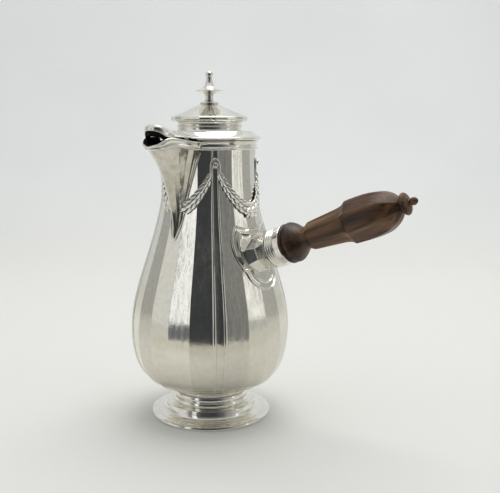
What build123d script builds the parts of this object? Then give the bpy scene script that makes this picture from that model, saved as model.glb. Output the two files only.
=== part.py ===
from build123d import *
import os
from math import atan2, cos, degrees, hypot, radians, sin, sqrt, tan

# Side-handled silver chocolate pot.  Millimetres.  The origin is the centre of the foot's
# underside, +Z runs up the pot's axis, the handle points along +X, the spout along -Y and
# the lid's hinge is at +Y.

# ---- general -------------------------------------------------------------------------
WALL = 1.0            # sheet thickness of body, spout and foot
SOLDER_GAP = 0.03     # film between two pieces that are soldered together
MOVE_GAP = 0.35       # free play between the pot, its lid and the finial

# ---- body: faceted pear with four ribs -----------------------------------------------
FACETS_PER_QUARTER = 5
RIB_ANGLE = 10.0      # degrees that one rib takes out of the circle
RIB_RISE = 0.8        # height of the two reeds that edge a rib
RIB_CHANNEL = 0.48    # share of the rib's width taken by its hollow channel
SEAT_Z = 22.8         # where the body's base stands on the foot
SEAT_R = 29.5
BILGE_Z = 29.0        # tight curve above the foot
BILGE_R = 45.3
BELLY_Z = 60.0        # widest place
BELLY_R = 56.0
SHOULDER_Z = 105.0
SHOULDER_R = 48.0
WAIST_Z = 148.0
WAIST_R = 35.4
NECK_Z = 174.0
NECK_R = 32.1
RIM_Z = 197.9         # top edge of the body
RIM_R = 31.9
BODY_LEVELS = 15      # sections that the faceted skin is drawn through

# ---- rim moulding --------------------------------------------------------------------
BAND_HEIGHT = 6.3
BAND_R = 34.2         # radius over the top bead
BAND_BEAD = 0.9       # how far its two beads stand out
BAND_BEAD_H = 1.6
BAND_HOLLOW = 0.4     # depth of the hollow between its beads
SPOUT_SECTOR = 36.0   # degrees either side of the spout where the band gives way to the lip

# ---- foot ----------------------------------------------------------------------------
FOOT_R = 43.5         # over the base ring
FOOT_RING_H = 2.7
FOOT_RING_W = 5.3
STEP_R = 32.3         # the step above the sloping base
STEP_Z = 5.1
RISER_H = 4.2
STEM_R = 26.3         # the narrow stem that carries two round beads
BEAD_RISE = 1.3       # how far the stem's beads stand out
BEAD_HALF = 1.25      # half of a bead's height
STEM_HOLLOW = 1.0     # depth of the hollow between the beads
LOWER_BEAD_Z = 12.3
UPPER_BEAD_Z = 17.0
COLLAR_R = 31.0

# ---- spout ---------------------------------------------------------------------------
# Each level gives the height, the half width where it meets the body and the keel's reach
# from the pot's axis.
SPOUT_LEVELS = (
    (132.6, 1.0, 39.3),
    (140.0, 3.4, 39.2),
    (150.0, 5.2, 40.6),
    (161.0, 6.4, 43.8),
    (172.0, 8.8, 47.6),
    (182.0, 11.4, 52.4),
    (190.0, 13.8, 58.6),
    (196.0, 15.2, 63.5),
    (207.0, 17.0, 69.0),
)
SPOUT_CHANNEL_Z = 150.0   # foot of the channel behind the spout
SPOUT_BORDER_W = 1.3      # width of the raised border round the spout's root
NOSE_SHARE = 0.37         # half width of the nose, as a share of the spout's half width
NOSE_SLOPE = 30.0         # degrees that the nose's two facets fall away from the keel
SIDE_CORNERS = ((0.0, 0.0), (0.27, 0.08), (0.62, 0.075), (1.0, 0.0))

# ---- spout lip and roof ----------------------------------------------------------------
# The lip's upper edge, as reach from the axis and height.
LIP_EDGE = (
    (24.0, 197.8),
    (33.0, 197.6),
    (39.5, 198.3),
    (44.0, 199.1),
    (50.0, 200.3),
    (54.0, 200.2),
    (57.5, 198.3),
    (61.0, 195.6),
    (65.0, 192.6),
)
# Depth of the lip below each of those places.
LIP_HEIGHTS = (6.2, 6.1, 5.8, 5.8, 6.5, 7.0, 6.2, 3.8, 1.8)
LIP_THICK = 1.0
LIP_BEAD = 0.8            # how far the lip's two beads stand out beyond it
LIP_BEAD_H = 1.5
# Roof sections: reach from the axis, height at the sides, height at the crown.
ROOF_SECTIONS = (
    (28.0, 199.3, 201.0),
    (43.0, 200.4, 204.8),
    (53.8, 200.3, 207.4),
    (58.0, 203.0, 208.4),
    (62.0, 204.2, 208.0),
)
ROOF_WIDTH_AT = 200.0     # height at which the roof takes its width from the beak
ROOF_THICK = 1.1
ROOF_TIP = 61.6           # reach of the roof's rounded front
ROOF_CORNER = 53.8        # reach where that rounding starts

# ---- lid -----------------------------------------------------------------------------
LID_FLANGE_R = 36.0
LID_FLANGE_H = 5.6
LID_STEP_R = 30.4
LID_NECK_R = 22.4
LID_NECK_H = 6.4
LID_RIDGE = 0.6
DOME_R = 26.3
DOME_TOP_R = 6.6
DOME_EDGE_H = 2.4
DOME_CONE_H = 9.5
LID_WALL = 1.1
BEZEL_DEPTH = 5.5         # how far the lid's bezel reaches into the neck
BEZEL_WALL = 0.9

# ---- finial --------------------------------------------------------------------------
FINIAL_H = 22.5           # above the dome's top
FINIAL_BASE_R = 6.5
FINIAL_WAIST_R = 2.75
FINIAL_DISC_R = 9.4
FINIAL_NECK_R = 2.1
FINIAL_BALL_R = 2.6
FINIAL_BASE_H = 1.6
PLUG_R = 4.0              # the plug closes the hole for the stirring rod
PLUG_LENGTH = 6.5
PLUG_FIT = 0.06
BUSH_WALL = 1.1

# ---- lid hinge -------------------------------------------------------------------------
HINGE_Y = 37.3
KNUCKLE_R = 2.0
HINGE_PIN_R = 0.9
PIN_FIT = 0.04
KNUCKLE_LENGTH = 4.6
KNUCKLE_GAP = 0.3
PIN_HEAD_R = 1.5
PIN_HEAD_H = 0.7
HINGE_PLATE_DROP = 9.0    # how far the back plate reaches down the body
HINGE_PLATE_THICK = 1.2

# ---- handle ----------------------------------------------------------------------------
HANDLE_TILT = 21.2        # degrees above the horizontal
HANDLE_X = 40.0           # where the handle's axis leaves the body
HANDLE_Z = 119.8
SOCKET_SIDES = 8
SOCKET_LENGTH = 17.5
# Distance along the handle and radius, for the faceted socket.
SOCKET_FORM = ((-5.0, 15.5), (1.5, 12.6), (7.5, 9.6), (12.5, 10.7), (17.5, 12.9))
FERRULE_R = 13.3
FERRULE_LENGTH = 11.5
REEDS = 3
REED_PITCH = 1.8
FERRULE_GROOVE = 1.6
TENON_R = 7.6
TENON_LENGTH = 15.0
TENON_FIT = 0.05
CROSS_PIN_R = 1.0
CROSS_PIN_AT = 25.6       # distance along the handle
# Turned wood between the ferrule and the faceted shaft: distance beyond the ferrule, radius.
BELL_R = 13.5
BELL_LENGTH = 17.0
BELL_NECK_R = 7.3
SHAFT_R = (9.2, 11.3)     # faceted shaft, near and far
SHAFT_LENGTH = 27.2
SHAFT_RISE = 3.8          # length of the swelling from the neck to the shaft
BULB_R = 13.6
BULB_STEP = 3.5
BULB_LENGTH = 19.5
BULB_TAPER = 14.8
BULB_END_R = 4.4
GRIP_SIDES = 8
KNOB_R = 7.2
KNOB_LENGTH = 5.0
TIP_R = 2.5

# ---- handle plate (cartouche): half outline, sideways and height ------------------------
PLATE_TOP = (15.5, 141.8)
PLATE_TOP_DIP = 138.9
PLATE_LOBE = (20.6, 128.0)
PLATE_NOTCH = (16.8, 111.6)
PLATE_TAIL = (15.2, 109.4)
PLATE_FOOT_Z = 96.8
PLATE_THICK = 0.8
PLATE_BORDER = 5.2        # width of the moulded border
PLATE_BEAD = 1.2          # width of the bead at each edge of the border
PLATE_BEAD_RISE = 1.0
PLATE_KNOT_R = 1.9

# ---- studs and garlands ------------------------------------------------------------------
STUD_Z = 182.0
STUD_R = 1.9
STUD_PROUD = 1.6
STUD_BASE_R = 2.7
STUD_BASE_H = 0.7
SWAG_LOW_Z = 151.6        # centre line of the swag at its lowest
SWAG_HALF = (1.3, 4.9)    # half width at the stud and along the rest
SWAG_RELIEF = 1.6
SWAG_END = 0.96           # share of the way to the stud where the leaves stop
LEAF_PITCH = 5.4
LEAF_LENGTH = 8.4
LEAF_WIDTH = 4.2
LEAF_FAN = 24.0           # degrees that the outer leaves turn away from the swag's line
BERRY_R = 1.7
SWAG_CLEAR = 0.2          # degrees kept between two swags that meet at a stud
CUT_SWAG_END = 0.17       # share where the two swags beside the spout run out

FACET_ANGLE = (90.0 - RIB_ANGLE) / FACETS_PER_QUARTER
FLAT_SHARE = cos(radians(FACET_ANGLE / 2))


# ======================================================================================
# The pear-shaped outline and everything that follows it
# ======================================================================================
outline = Spline(
    (SEAT_R, SEAT_Z),
    (BILGE_R, BILGE_Z),
    (BELLY_R, BELLY_Z),
    (SHOULDER_R, SHOULDER_Z),
    (WAIST_R, WAIST_Z),
    (NECK_R, NECK_Z),
    (RIM_R, RIM_Z),
    tangents=((1.0, 0.05), (0.0, 1.0)),
    tangent_scalars=(1.2, 0.6),
)


def share_at(height):
    """Place along the outline, from 0 to 1, where it reaches a height."""
    low, high = 0.0, 1.0
    for _ in range(40):
        middle = (low + high) / 2
        if (outline @ middle).Y < height:
            low = middle
        else:
            high = middle
    return (low + high) / 2


def radius_at(height):
    """Outer radius of the body, over the facets' corners."""
    return (outline @ share_at(height)).X


def slope_at(height):
    """Degrees that the body's surface normal points above the horizontal."""
    direction = outline % share_at(height)
    return degrees(atan2(-direction.X, direction.Y))


def corner_angles():
    """Angle and rise of every corner of a section: flat facets and reeded ribs."""
    rib = RIB_ANGLE / 2
    reed = (1 - RIB_CHANNEL) * rib
    corners = []
    for quarter in range(4):
        centre = 45.0 + 90.0 * quarter
        for side in (-1, 1):
            across = [(rib, 0.0), (rib - 0.15 * reed, RIB_RISE), (rib - 0.85 * reed, RIB_RISE), (rib - reed, 0.0)]
            if side == 1:
                across.reverse()
            for offset, rise in across:
                corners.append((centre + side * offset, rise))
        for step in range(1, FACETS_PER_QUARTER):
            corners.append((centre + rib + step * FACET_ANGLE, 0.0))
    return corners


def section(radius, height, rise_share=1.0):
    """Flat face with the pot's faceted section."""
    points = []
    for angle, rise in corner_angles():
        reach = radius + rise * rise_share
        points.append((reach * cos(radians(angle)), reach * sin(radians(angle)), height))
    return Face(Wire.make_polygon([Vector(*point) for point in points], close=True))


def body_form(grow, low=SEAT_Z, high=RIM_Z, top=RIM_Z):
    """Solid of the body's outer form between two heights, grown by a little all round."""
    places = []
    for level in range(BODY_LEVELS):
        places.append(outline @ (level / (BODY_LEVELS - 1)) ** 1.15)
    faces = []
    for level, place in enumerate(places):
        above = places[min(level + 1, BODY_LEVELS - 1)].Y
        below = places[max(level - 1, 0)].Y
        if above >= low and below <= high:
            faces.append(section(place.X + grow, place.Y))
    form = loft(faces)
    if top > RIM_Z:
        form += extrude(section(RIM_R + grow, RIM_Z), top - RIM_Z)
    return form


def turned(outline_edges, plane=Plane.XZ):
    """Solid turned about the plane's own Y axis from a closed outline of (radius, height)."""
    return revolve(plane * make_face(outline_edges), Axis(plane.origin, plane.y_dir))


def ring(inner, outer, low, high):
    """Plain round ring on the pot's axis."""
    return Pos(0, 0, (low + high) / 2) * (Cylinder(outer, high - low) - Cylinder(inner, 2 * (high - low)))


def inner_outline():
    """The body's inside, one wall in from the flats of its facets."""
    points = []
    for level in range(BODY_LEVELS):
        share = level / (BODY_LEVELS - 1)
        place = outline @ share
        direction = (outline % share).normalized()
        points.append((
            place.X * FLAT_SHARE - WALL * direction.Y,
            place.Y + WALL * direction.X,
        ))
    return points


# ======================================================================================
# Spout: forms shared by the spout, its border, its lip and the opening in the body
# ======================================================================================
def spout_section(height, half_width, keel, grow):
    """Plan section of the beak: body edge, three side facets, two nose facets."""
    seat = sqrt((radius_at(min(height, RIM_Z)) * FLAT_SHARE) ** 2 - half_width ** 2) - 0.4
    nose_width = NOSE_SHARE * half_width
    nose_reach = keel - nose_width * tan(radians(NOSE_SLOPE))
    side = []
    for share, bulge in SIDE_CORNERS:
        side.append((
            half_width + share * (nose_width - half_width) + bulge * half_width,
            seat + share * (nose_reach - seat),
        ))
    run = hypot(side[0][0] - side[-1][0], side[-1][1] - side[0][1])
    out = ((side[-1][1] - side[0][1]) / run, (side[0][0] - side[-1][0]) / run)
    half = [(side[0][0] + grow * out[0], seat - 9.0)]
    half += [(across + grow * out[0], reach + grow * out[1]) for across, reach in side]
    nose = grow / cos(radians(NOSE_SLOPE))
    points = half + [(0.0, keel + nose)]
    points += [(-across, reach) for across, reach in reversed(half)]
    return Face(Wire.make_polygon([Vector(across, -reach, height) for across, reach in points], close=True))


def spout_form(grow, low=0.0):
    """Solid of the beak's outer form, grown or, for its channel, shrunk."""
    return loft([spout_section(*level, grow) for level in SPOUT_LEVELS if level[0] >= low])


def side_slab(lower, upper):
    """Slab across the spout between two lines of (reach, height)."""
    line = Polyline(*lower) if len(lower) == 2 else Spline(*lower)
    roof = Polyline(*reversed(upper)) if len(upper) == 2 else Spline(*reversed(upper))
    ends = [Line(lower[-1], upper[-1]), Line(upper[0], lower[0])]
    face = make_face([line, ends[0], roof, ends[1]])
    plane = Plane(origin=(0, 0, 0), x_dir=(0, -1, 0), z_dir=(-1, 0, 0))
    return extrude(plane * face, amount=40, both=True)


def wedge(half_angle, centre_angle):
    """Upright wedge of the circle about a direction, taller than the pot."""
    reach = 3 * BELLY_R
    ends = [radians(centre_angle + side * half_angle) for side in (-1, 1)]
    corners = [(0, 0)] + [(reach * cos(end), reach * sin(end)) for end in ends]
    return extrude(make_face(Polyline(*corners, close=True)), 2 * RIM_Z)


body_solid = body_form(0.0)
body_tool = body_form(SOLDER_GAP, top=RIM_Z + 3.0)
beak = spout_form(0.0)
beak_tool = spout_form(SOLDER_GAP)
channel = spout_form(-WALL, low=SPOUT_CHANNEL_Z)


# ======================================================================================
# The pot: body, rim, spout
# ======================================================================================
def make_body_shell():
    """Raised body: faceted outside, round inside, open at the rim and into the spout."""
    points = inner_outline()
    wall_line = Spline(*points)
    top = (points[-1][0], RIM_Z + 1.0)
    hollow = turned([
        wall_line,
        Line(points[-1], top),
        Line(top, (0, RIM_Z + 1.0)),
        Line((0, RIM_Z + 1.0), (0, points[0][1])),
        Line((0, points[0][1]), points[0]),
    ])
    return body_solid - hollow - channel


def band_form(edge, bead, low, high):
    """Turned band with a bead at each edge and a shallow hollow between."""
    inside = RIM_R - 2.0
    return turned([
        Line((inside, low), (edge, low)),
        ThreePointArc((edge, low), (edge + bead, low + BAND_BEAD_H / 2), (edge, low + BAND_BEAD_H)),
        ThreePointArc(
            (edge, low + BAND_BEAD_H),
            (edge - BAND_HOLLOW, (low + high) / 2),
            (edge, high - BAND_BEAD_H),
        ),
        ThreePointArc((edge, high - BAND_BEAD_H), (edge + bead, high - BAND_BEAD_H / 2), (edge, high)),
        Line((edge, high), (inside, high)),
        Line((inside, high), (inside, low)),
    ])


rim_form = band_form(BAND_R - BAND_BEAD, BAND_BEAD, RIM_Z - BAND_HEIGHT, RIM_Z)
spout_sector = wedge(SPOUT_SECTOR, -90.0)


def make_rim_band():
    """Moulded wire round the rim, broken off at the spout."""
    return rim_form - body_tool - spout_sector


lid_space = Pos(0, 0, RIM_Z + 15) * Cylinder(LID_FLANGE_R + MOVE_GAP, 30)


def make_spout():
    """Beaked spout: a faceted shell soldered over the opening in the body."""
    below_edge = side_slab([(LIP_EDGE[0][0], 120.0), (LIP_EDGE[-1][0], 120.0)], LIP_EDGE)
    return (beak - channel - body_tool - lid_space) & below_edge


def lip_line(share, drop):
    """The lip's upper edge, lowered by a share of the lip's depth and by a fixed drop."""
    return [
        (reach, height - share * depth - drop)
        for (reach, height), depth in zip(LIP_EDGE, LIP_HEIGHTS)
    ]


def lip_layer(rise, lower, upper):
    """One thickness of the lip between two edge lines, over the beak and round the rim."""
    around = ring(RIM_R - 2.0, BAND_R - BAND_BEAD + rise - LIP_THICK, RIM_Z - 15, RIM_Z + 6)
    return (spout_form(rise) + (around & spout_sector)) & side_slab(lower, upper)


def make_spout_lip():
    """Moulded lip that carries the rim's band on along the beak's edge."""
    lip = lip_layer(LIP_THICK, lip_line(1, 0), lip_line(0, 0))
    lip += lip_layer(LIP_THICK + LIP_BEAD, lip_line(0, LIP_BEAD_H), lip_line(0, 0))
    lip += lip_layer(LIP_THICK + LIP_BEAD, lip_line(1, 0), lip_line(1, -LIP_BEAD_H))
    return lip - beak_tool - body_tool - lid_space


def beak_half_width(reach):
    """Half width of the beak at the roof's height, this far from the axis."""
    for low, high in zip(SPOUT_LEVELS, SPOUT_LEVELS[1:]):
        if low[0] <= ROOF_WIDTH_AT <= high[0]:
            share = (ROOF_WIDTH_AT - low[0]) / (high[0] - low[0])
            half_width = low[1] + share * (high[1] - low[1])
            keel = low[2] + share * (high[2] - low[2])
    nose_width = NOSE_SHARE * half_width
    nose_reach = keel - nose_width * tan(radians(NOSE_SLOPE))
    seat = sqrt((RIM_R * FLAT_SHARE) ** 2 - half_width ** 2)
    along = min(max((reach - seat) / (nose_reach - seat), 0.0), 1.0)
    return half_width + along * (nose_width - half_width)


def roof_section(reach, side_z, crown_z):
    """Arched section of the roof, square to the spout."""
    half = beak_half_width(reach)
    face = make_face([
        ThreePointArc((-half, side_z), (0, crown_z), (half, side_z)),
        Line((half, side_z), (half, side_z - ROOF_THICK)),
        ThreePointArc((half, side_z - ROOF_THICK), (0, crown_z - ROOF_THICK), (-half, side_z - ROOF_THICK)),
        Line((-half, side_z - ROOF_THICK), (-half, side_z)),
    ])
    return Plane(origin=(0, -reach, 0), x_dir=(1, 0, 0), z_dir=(0, -1, 0)) * face


def make_spout_roof(spout, lip):
    """Arched roof over the beak, from the lid's edge to a rounded front over the mouth."""
    wide = beak_half_width(ROOF_SECTIONS[0][0]) + 1.0
    corner = beak_half_width(ROOF_CORNER)
    plan = make_face([
        Line((-wide, -ROOF_SECTIONS[0][0]), (-corner, -ROOF_CORNER)),
        ThreePointArc((-corner, -ROOF_CORNER), (0, -ROOF_TIP), (corner, -ROOF_CORNER)),
        Line((corner, -ROOF_CORNER), (wide, -ROOF_SECTIONS[0][0])),
        Line((wide, -ROOF_SECTIONS[0][0]), (-wide, -ROOF_SECTIONS[0][0])),
    ])
    roof = loft([roof_section(*place) for place in ROOF_SECTIONS])
    roof &= extrude(plan, 2 * RIM_Z)
    return roof - lid_space - spout - lip - body_tool


def make_spout_border():
    """Raised border on the body round the spout's pointed root."""
    line = [(level[1], level[0]) for level in SPOUT_LEVELS if level[0] < RIM_Z]
    low = (0.0, SPOUT_LEVELS[0][0] - 1.0)
    right = [(0.0, low[1] - SPOUT_BORDER_W)] + [(across + SPOUT_BORDER_W, height) for across, height in line]
    edge = Spline(*right, tangents=((1, 0), (0.3, 1)))
    mirrored = Spline(*[(-across, height) for across, height in right], tangents=((-1, 0), (-0.3, 1)))
    top = Line(right[-1], (-right[-1][0], right[-1][1]))
    plane = Plane(origin=(0, 0, 0), x_dir=(1, 0, 0), z_dir=(0, -1, 0))
    prism = extrude(plane * make_face([edge, top, mirrored]), 80)
    strip = body_form(RIB_RISE, low=SPOUT_LEVELS[0][0] - 20) & prism
    return strip - body_tool - beak_tool


# ======================================================================================
# Foot
# ======================================================================================
def make_foot_ring():
    """Heavy base ring with a flat underside and a rounded edge."""
    inside = FOOT_R - FOOT_RING_W
    shoulder = FOOT_R - 1.4
    return turned([
        Line((inside, 0), (FOOT_R, 0)),
        Line((FOOT_R, 0), (FOOT_R, FOOT_RING_H / 2)),
        ThreePointArc((FOOT_R, FOOT_RING_H / 2), (FOOT_R - 0.4, FOOT_RING_H - 0.4), (shoulder, FOOT_RING_H)),
        Line((shoulder, FOOT_RING_H), (inside, FOOT_RING_H)),
        Line((inside, FOOT_RING_H), (inside, 0)),
    ])


def stem_bead(height):
    """Round bead on the stem's outline, from below to above."""
    return ThreePointArc(
        (STEM_R, height - BEAD_HALF),
        (STEM_R + BEAD_RISE, height),
        (STEM_R, height + BEAD_HALF),
    )


def make_foot():
    """Spun foot: sloping base, step, riser and a stem with two round beads; hollow below."""
    skirt = FOOT_R - FOOT_RING_W - SOLDER_GAP
    slope = (skirt, FOOT_RING_H + 0.1)
    riser_top = (STEP_R - 0.7, STEP_Z + RISER_H)
    hollow_low = LOWER_BEAD_Z + BEAD_HALF
    hollow_high = UPPER_BEAD_Z - BEAD_HALF
    neck_r = STEM_R - STEM_HOLLOW - WALL
    top = UPPER_BEAD_Z + BEAD_HALF
    outside = [
        Line((skirt, 0.8), slope),
        ThreePointArc(slope, (STEP_R + 2.4, FOOT_RING_H + 0.8), (STEP_R, STEP_Z)),
        Line((STEP_R, STEP_Z), riser_top),
        ThreePointArc(riser_top, (STEM_R + 1.6, riser_top[1] + 0.6), (STEM_R, LOWER_BEAD_Z - BEAD_HALF)),
        stem_bead(LOWER_BEAD_Z),
        ThreePointArc(
            (STEM_R, hollow_low),
            (STEM_R - STEM_HOLLOW, (hollow_low + hollow_high) / 2),
            (STEM_R, hollow_high),
        ),
        stem_bead(UPPER_BEAD_Z),
        Line((STEM_R, top), (neck_r, top)),
    ]
    inside = Polyline(
        (neck_r, top),
        (neck_r, riser_top[1] - 0.6),
        (STEP_R - 0.7 - WALL, riser_top[1] - WALL),
        (STEP_R - WALL, STEP_Z - WALL),
        (skirt - WALL, FOOT_RING_H - WALL),
        (skirt - WALL, 0.8),
        (skirt, 0.8),
    )
    return turned(outside + [inside])


def make_foot_collar():
    """Flared collar that joins the foot's stem to the body's base."""
    low = UPPER_BEAD_Z + BEAD_HALF + SOLDER_GAP
    high = SEAT_Z + 1.0
    lip = COLLAR_R - 1.6
    inside = STEM_R - STEM_HOLLOW - WALL
    collar = turned([
        Line((inside, low), (STEM_R, low)),
        ThreePointArc((STEM_R, low), (STEM_R + 0.5, low + 1.8), (lip, high - 1.6)),
        Line((lip, high - 1.6), (COLLAR_R - 0.3, high - 1.6)),
        ThreePointArc((COLLAR_R - 0.3, high - 1.6), (COLLAR_R, high - 1.3), (COLLAR_R, high - 1.0)),
        Line((COLLAR_R, high - 1.0), (COLLAR_R, high)),
        Line((COLLAR_R, high), (COLLAR_R - 2 * WALL, high)),
        Line((COLLAR_R - 2 * WALL, high), (inside, low)),
    ])
    return collar - body_tool


# ======================================================================================
# Lid
# ======================================================================================
FLANGE_Z = RIM_Z + MOVE_GAP
NECK_FOOT_Z = FLANGE_Z + LID_FLANGE_H
DOME_FOOT_Z = NECK_FOOT_Z + LID_NECK_H
DOME_EDGE_Z = DOME_FOOT_Z + DOME_EDGE_H
DOME_TOP_Z = DOME_EDGE_Z + DOME_CONE_H
BEZEL_R = RIM_R * FLAT_SHARE - WALL - MOVE_GAP
HINGE_Z = FLANGE_Z + 0.1
HINGE_WIDTH = 3 * KNUCKLE_LENGTH + 2 * KNUCKLE_GAP


def make_lid_flange():
    """Moulded flange that covers the rim, notched at the back for the hinge."""
    top = NECK_FOOT_Z
    seat = BEZEL_R + SOLDER_GAP
    edge = LID_FLANGE_R - 0.8
    flange = turned([
        Line((seat, FLANGE_Z), (edge, FLANGE_Z)),
        ThreePointArc((edge, FLANGE_Z), (LID_FLANGE_R, FLANGE_Z + 0.9), (edge, FLANGE_Z + 1.8)),
        ThreePointArc((edge, FLANGE_Z + 1.8), (LID_STEP_R + 3.0, top - 1.6), (LID_STEP_R + 0.5, top - 0.9)),
        Line((LID_STEP_R + 0.5, top - 0.9), (LID_STEP_R, top)),
        Line((LID_STEP_R, top), (LID_NECK_R - LID_WALL, top)),
        Line((LID_NECK_R - LID_WALL, top), (LID_NECK_R - LID_WALL, top - LID_WALL)),
        Line((LID_NECK_R - LID_WALL, top - LID_WALL), (seat, top - LID_WALL)),
        Line((seat, top - LID_WALL), (seat, FLANGE_Z)),
    ])
    notch_y = HINGE_Y - KNUCKLE_R - MOVE_GAP
    notch = Pos(0, notch_y + 10, FLANGE_Z) * Box(HINGE_WIDTH + 2 * MOVE_GAP, 20, 20)
    return flange - notch


def make_lid_bezel():
    """Plain ring that drops inside the neck and keeps the lid in place."""
    return ring(BEZEL_R - BEZEL_WALL, BEZEL_R, RIM_Z - BEZEL_DEPTH, NECK_FOOT_Z - LID_WALL - SOLDER_GAP)


def make_lid_neck():
    """Waisted neck between flange and dome, with a fine ridge round its middle."""
    low = NECK_FOOT_Z + SOLDER_GAP
    high = DOME_FOOT_Z
    ridge = (low + high) / 2 + 0.3
    inside = LID_NECK_R - LID_WALL
    return turned([
        Line((inside, low), (LID_NECK_R + 0.7, low)),
        ThreePointArc((LID_NECK_R + 0.7, low), (LID_NECK_R + 0.1, low + 0.8), (LID_NECK_R, ridge - 0.5)),
        ThreePointArc((LID_NECK_R, ridge - 0.5), (LID_NECK_R + LID_RIDGE, ridge), (LID_NECK_R, ridge + 0.5)),
        ThreePointArc((LID_NECK_R, ridge + 0.5), (LID_NECK_R + 0.2, high - 0.8), (LID_NECK_R + 0.8, high)),
        Line((LID_NECK_R + 0.8, high), (inside, high)),
        Line((inside, high), (inside, low)),
    ])


def make_lid_dome():
    """Cone with the body's facets and ribs, rolled under at its edge and hollow inside."""
    low = DOME_FOOT_Z + SOLDER_GAP
    skin = loft([
        section(DOME_R - 2.2, low, 0.3),
        section(DOME_R, low + 0.6 * DOME_EDGE_H, 0.3),
        section(DOME_R - 0.4, DOME_EDGE_Z, 0.3),
        section(DOME_TOP_R, DOME_TOP_Z, 0.1),
    ], ruled=True)
    inside = turned([
        Line((0, low - 1), (LID_NECK_R - LID_WALL, low - 1)),
        Line((LID_NECK_R - LID_WALL, low - 1), (DOME_R - 3.4, DOME_EDGE_Z - 1.0)),
        Line((DOME_R - 3.4, DOME_EDGE_Z - 1.0), (PLUG_R + PLUG_FIT + BUSH_WALL, DOME_TOP_Z - 1.6)),
        Line((PLUG_R + PLUG_FIT + BUSH_WALL, DOME_TOP_Z - 1.6), (0, DOME_TOP_Z - 1.6)),
        Line((0, DOME_TOP_Z - 1.6), (0, low - 1)),
    ])
    hole = Pos(0, 0, DOME_TOP_Z) * Cylinder(PLUG_R + PLUG_FIT + BUSH_WALL + SOLDER_GAP, 10)
    return skin - inside - hole


def make_finial_bush():
    """Short tube in the dome's top that takes the finial's plug."""
    bore = PLUG_R + PLUG_FIT
    return ring(bore, bore + BUSH_WALL, DOME_TOP_Z - PLUG_LENGTH + 0.5, DOME_TOP_Z)


def make_finial():
    """Turned finial on a flat base with a plug below; it lifts out for the stirring rod."""
    foot = DOME_TOP_Z + MOVE_GAP
    plug_foot = foot - PLUG_LENGTH
    base_top = foot + FINIAL_BASE_H
    waist = foot + 0.2 * FINIAL_H
    disc = foot + 0.4 * FINIAL_H
    neck = foot + 0.77 * FINIAL_H
    top = foot + FINIAL_H
    ball = top - FINIAL_BALL_R
    ball_foot = ball - 0.7 * FINIAL_BALL_R
    stem = turned([
        Line((0, plug_foot), (PLUG_R, plug_foot)),
        Line((PLUG_R, plug_foot), (PLUG_R, foot)),
        Line((PLUG_R, foot), (FINIAL_BASE_R, foot)),
        ThreePointArc((FINIAL_BASE_R, foot), (FINIAL_BASE_R + 0.3, foot + 0.6), (FINIAL_BASE_R - 0.2, foot + 1.2)),
        Line((FINIAL_BASE_R - 0.2, foot + 1.2), (1.35 * FINIAL_WAIST_R, base_top)),
        Spline(
            (1.35 * FINIAL_WAIST_R, base_top),
            (FINIAL_WAIST_R, waist),
            (1.5 * FINIAL_WAIST_R, disc - 2.4),
            (FINIAL_DISC_R, disc - 0.3),
        ),
        ThreePointArc((FINIAL_DISC_R, disc - 0.3), (FINIAL_DISC_R + 0.2, disc), (FINIAL_DISC_R, disc + 0.3)),
        Spline(
            (FINIAL_DISC_R, disc + 0.3),
            (0.5 * FINIAL_DISC_R, disc + 1.5),
            (1.1 * FINIAL_WAIST_R, foot + 0.59 * FINIAL_H),
            (FINIAL_NECK_R, neck),
        ),
        Line((FINIAL_NECK_R, neck), (0.6 * FINIAL_NECK_R, ball_foot)),
        Line((0.6 * FINIAL_NECK_R, ball_foot), (0, ball_foot)),
        Line((0, ball_foot), (0, plug_foot)),
    ])
    return stem + Pos(0, 0, ball) * Sphere(FINIAL_BALL_R)


# ======================================================================================
# Hinge
# ======================================================================================
def across(radius, low, high):
    """Cylinder along X on the hinge's axis."""
    centre = Pos((low + high) / 2, HINGE_Y, HINGE_Z)
    return centre * Rot(0, 90, 0) * Cylinder(radius, high - low)


hinge_bore = across(HINGE_PIN_R + PIN_FIT, -HINGE_WIDTH, HINGE_WIDTH)


def make_hinge_plate():
    """Back plate on rim and body with the hinge's two outer knuckles."""
    half = HINGE_WIDTH / 2
    plate_top = HINGE_Z - 0.7
    plate_back = BAND_R + HINGE_PLATE_THICK
    plate_foot = RIM_Z - HINGE_PLATE_DROP
    outline_face = make_face([
        Line((-half, plate_top), (half, plate_top)),
        Line((half, plate_top), (half, plate_foot + half / 2)),
        ThreePointArc((half, plate_foot + half / 2), (0, plate_foot), (-half, plate_foot + half / 2)),
        Line((-half, plate_foot + half / 2), (-half, plate_top)),
    ])
    shield = Plane(origin=(0, RIM_R - 4, 0), x_dir=(1, 0, 0), z_dir=(0, -1, 0)) * outline_face
    plate = extrude(shield, -(plate_back - RIM_R + 4))
    web_depth = HINGE_Y - plate_back + 1.0
    web = Pos(0, plate_back - 1.0 + web_depth / 2, plate_top - 1.0) * Box(2 * half, web_depth, 2.0)
    lid_knuckle = across(KNUCKLE_R + MOVE_GAP, -KNUCKLE_LENGTH / 2 - KNUCKLE_GAP, KNUCKLE_LENGTH / 2 + KNUCKLE_GAP)
    plate += web
    for side in (-1, 1):
        ends = sorted((side * half, side * (KNUCKLE_LENGTH / 2 + KNUCKLE_GAP)))
        plate += across(KNUCKLE_R, *ends)
    return plate - body_tool - rim_form - lid_knuckle - hinge_bore


def make_lid_knuckle(flange):
    """Middle knuckle of the hinge with the leaf that is soldered to the lid's flange."""
    half = KNUCKLE_LENGTH / 2
    leaf_low = HINGE_Z + 0.3
    leaf_high = HINGE_Z + KNUCKLE_R
    leaf_depth = 3.2
    leaf = Pos(0, HINGE_Y - leaf_depth / 2, (leaf_low + leaf_high) / 2)
    leaf *= Box(2 * half, leaf_depth, leaf_high - leaf_low)
    return leaf + across(KNUCKLE_R, -half, half) - flange - hinge_bore


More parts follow.
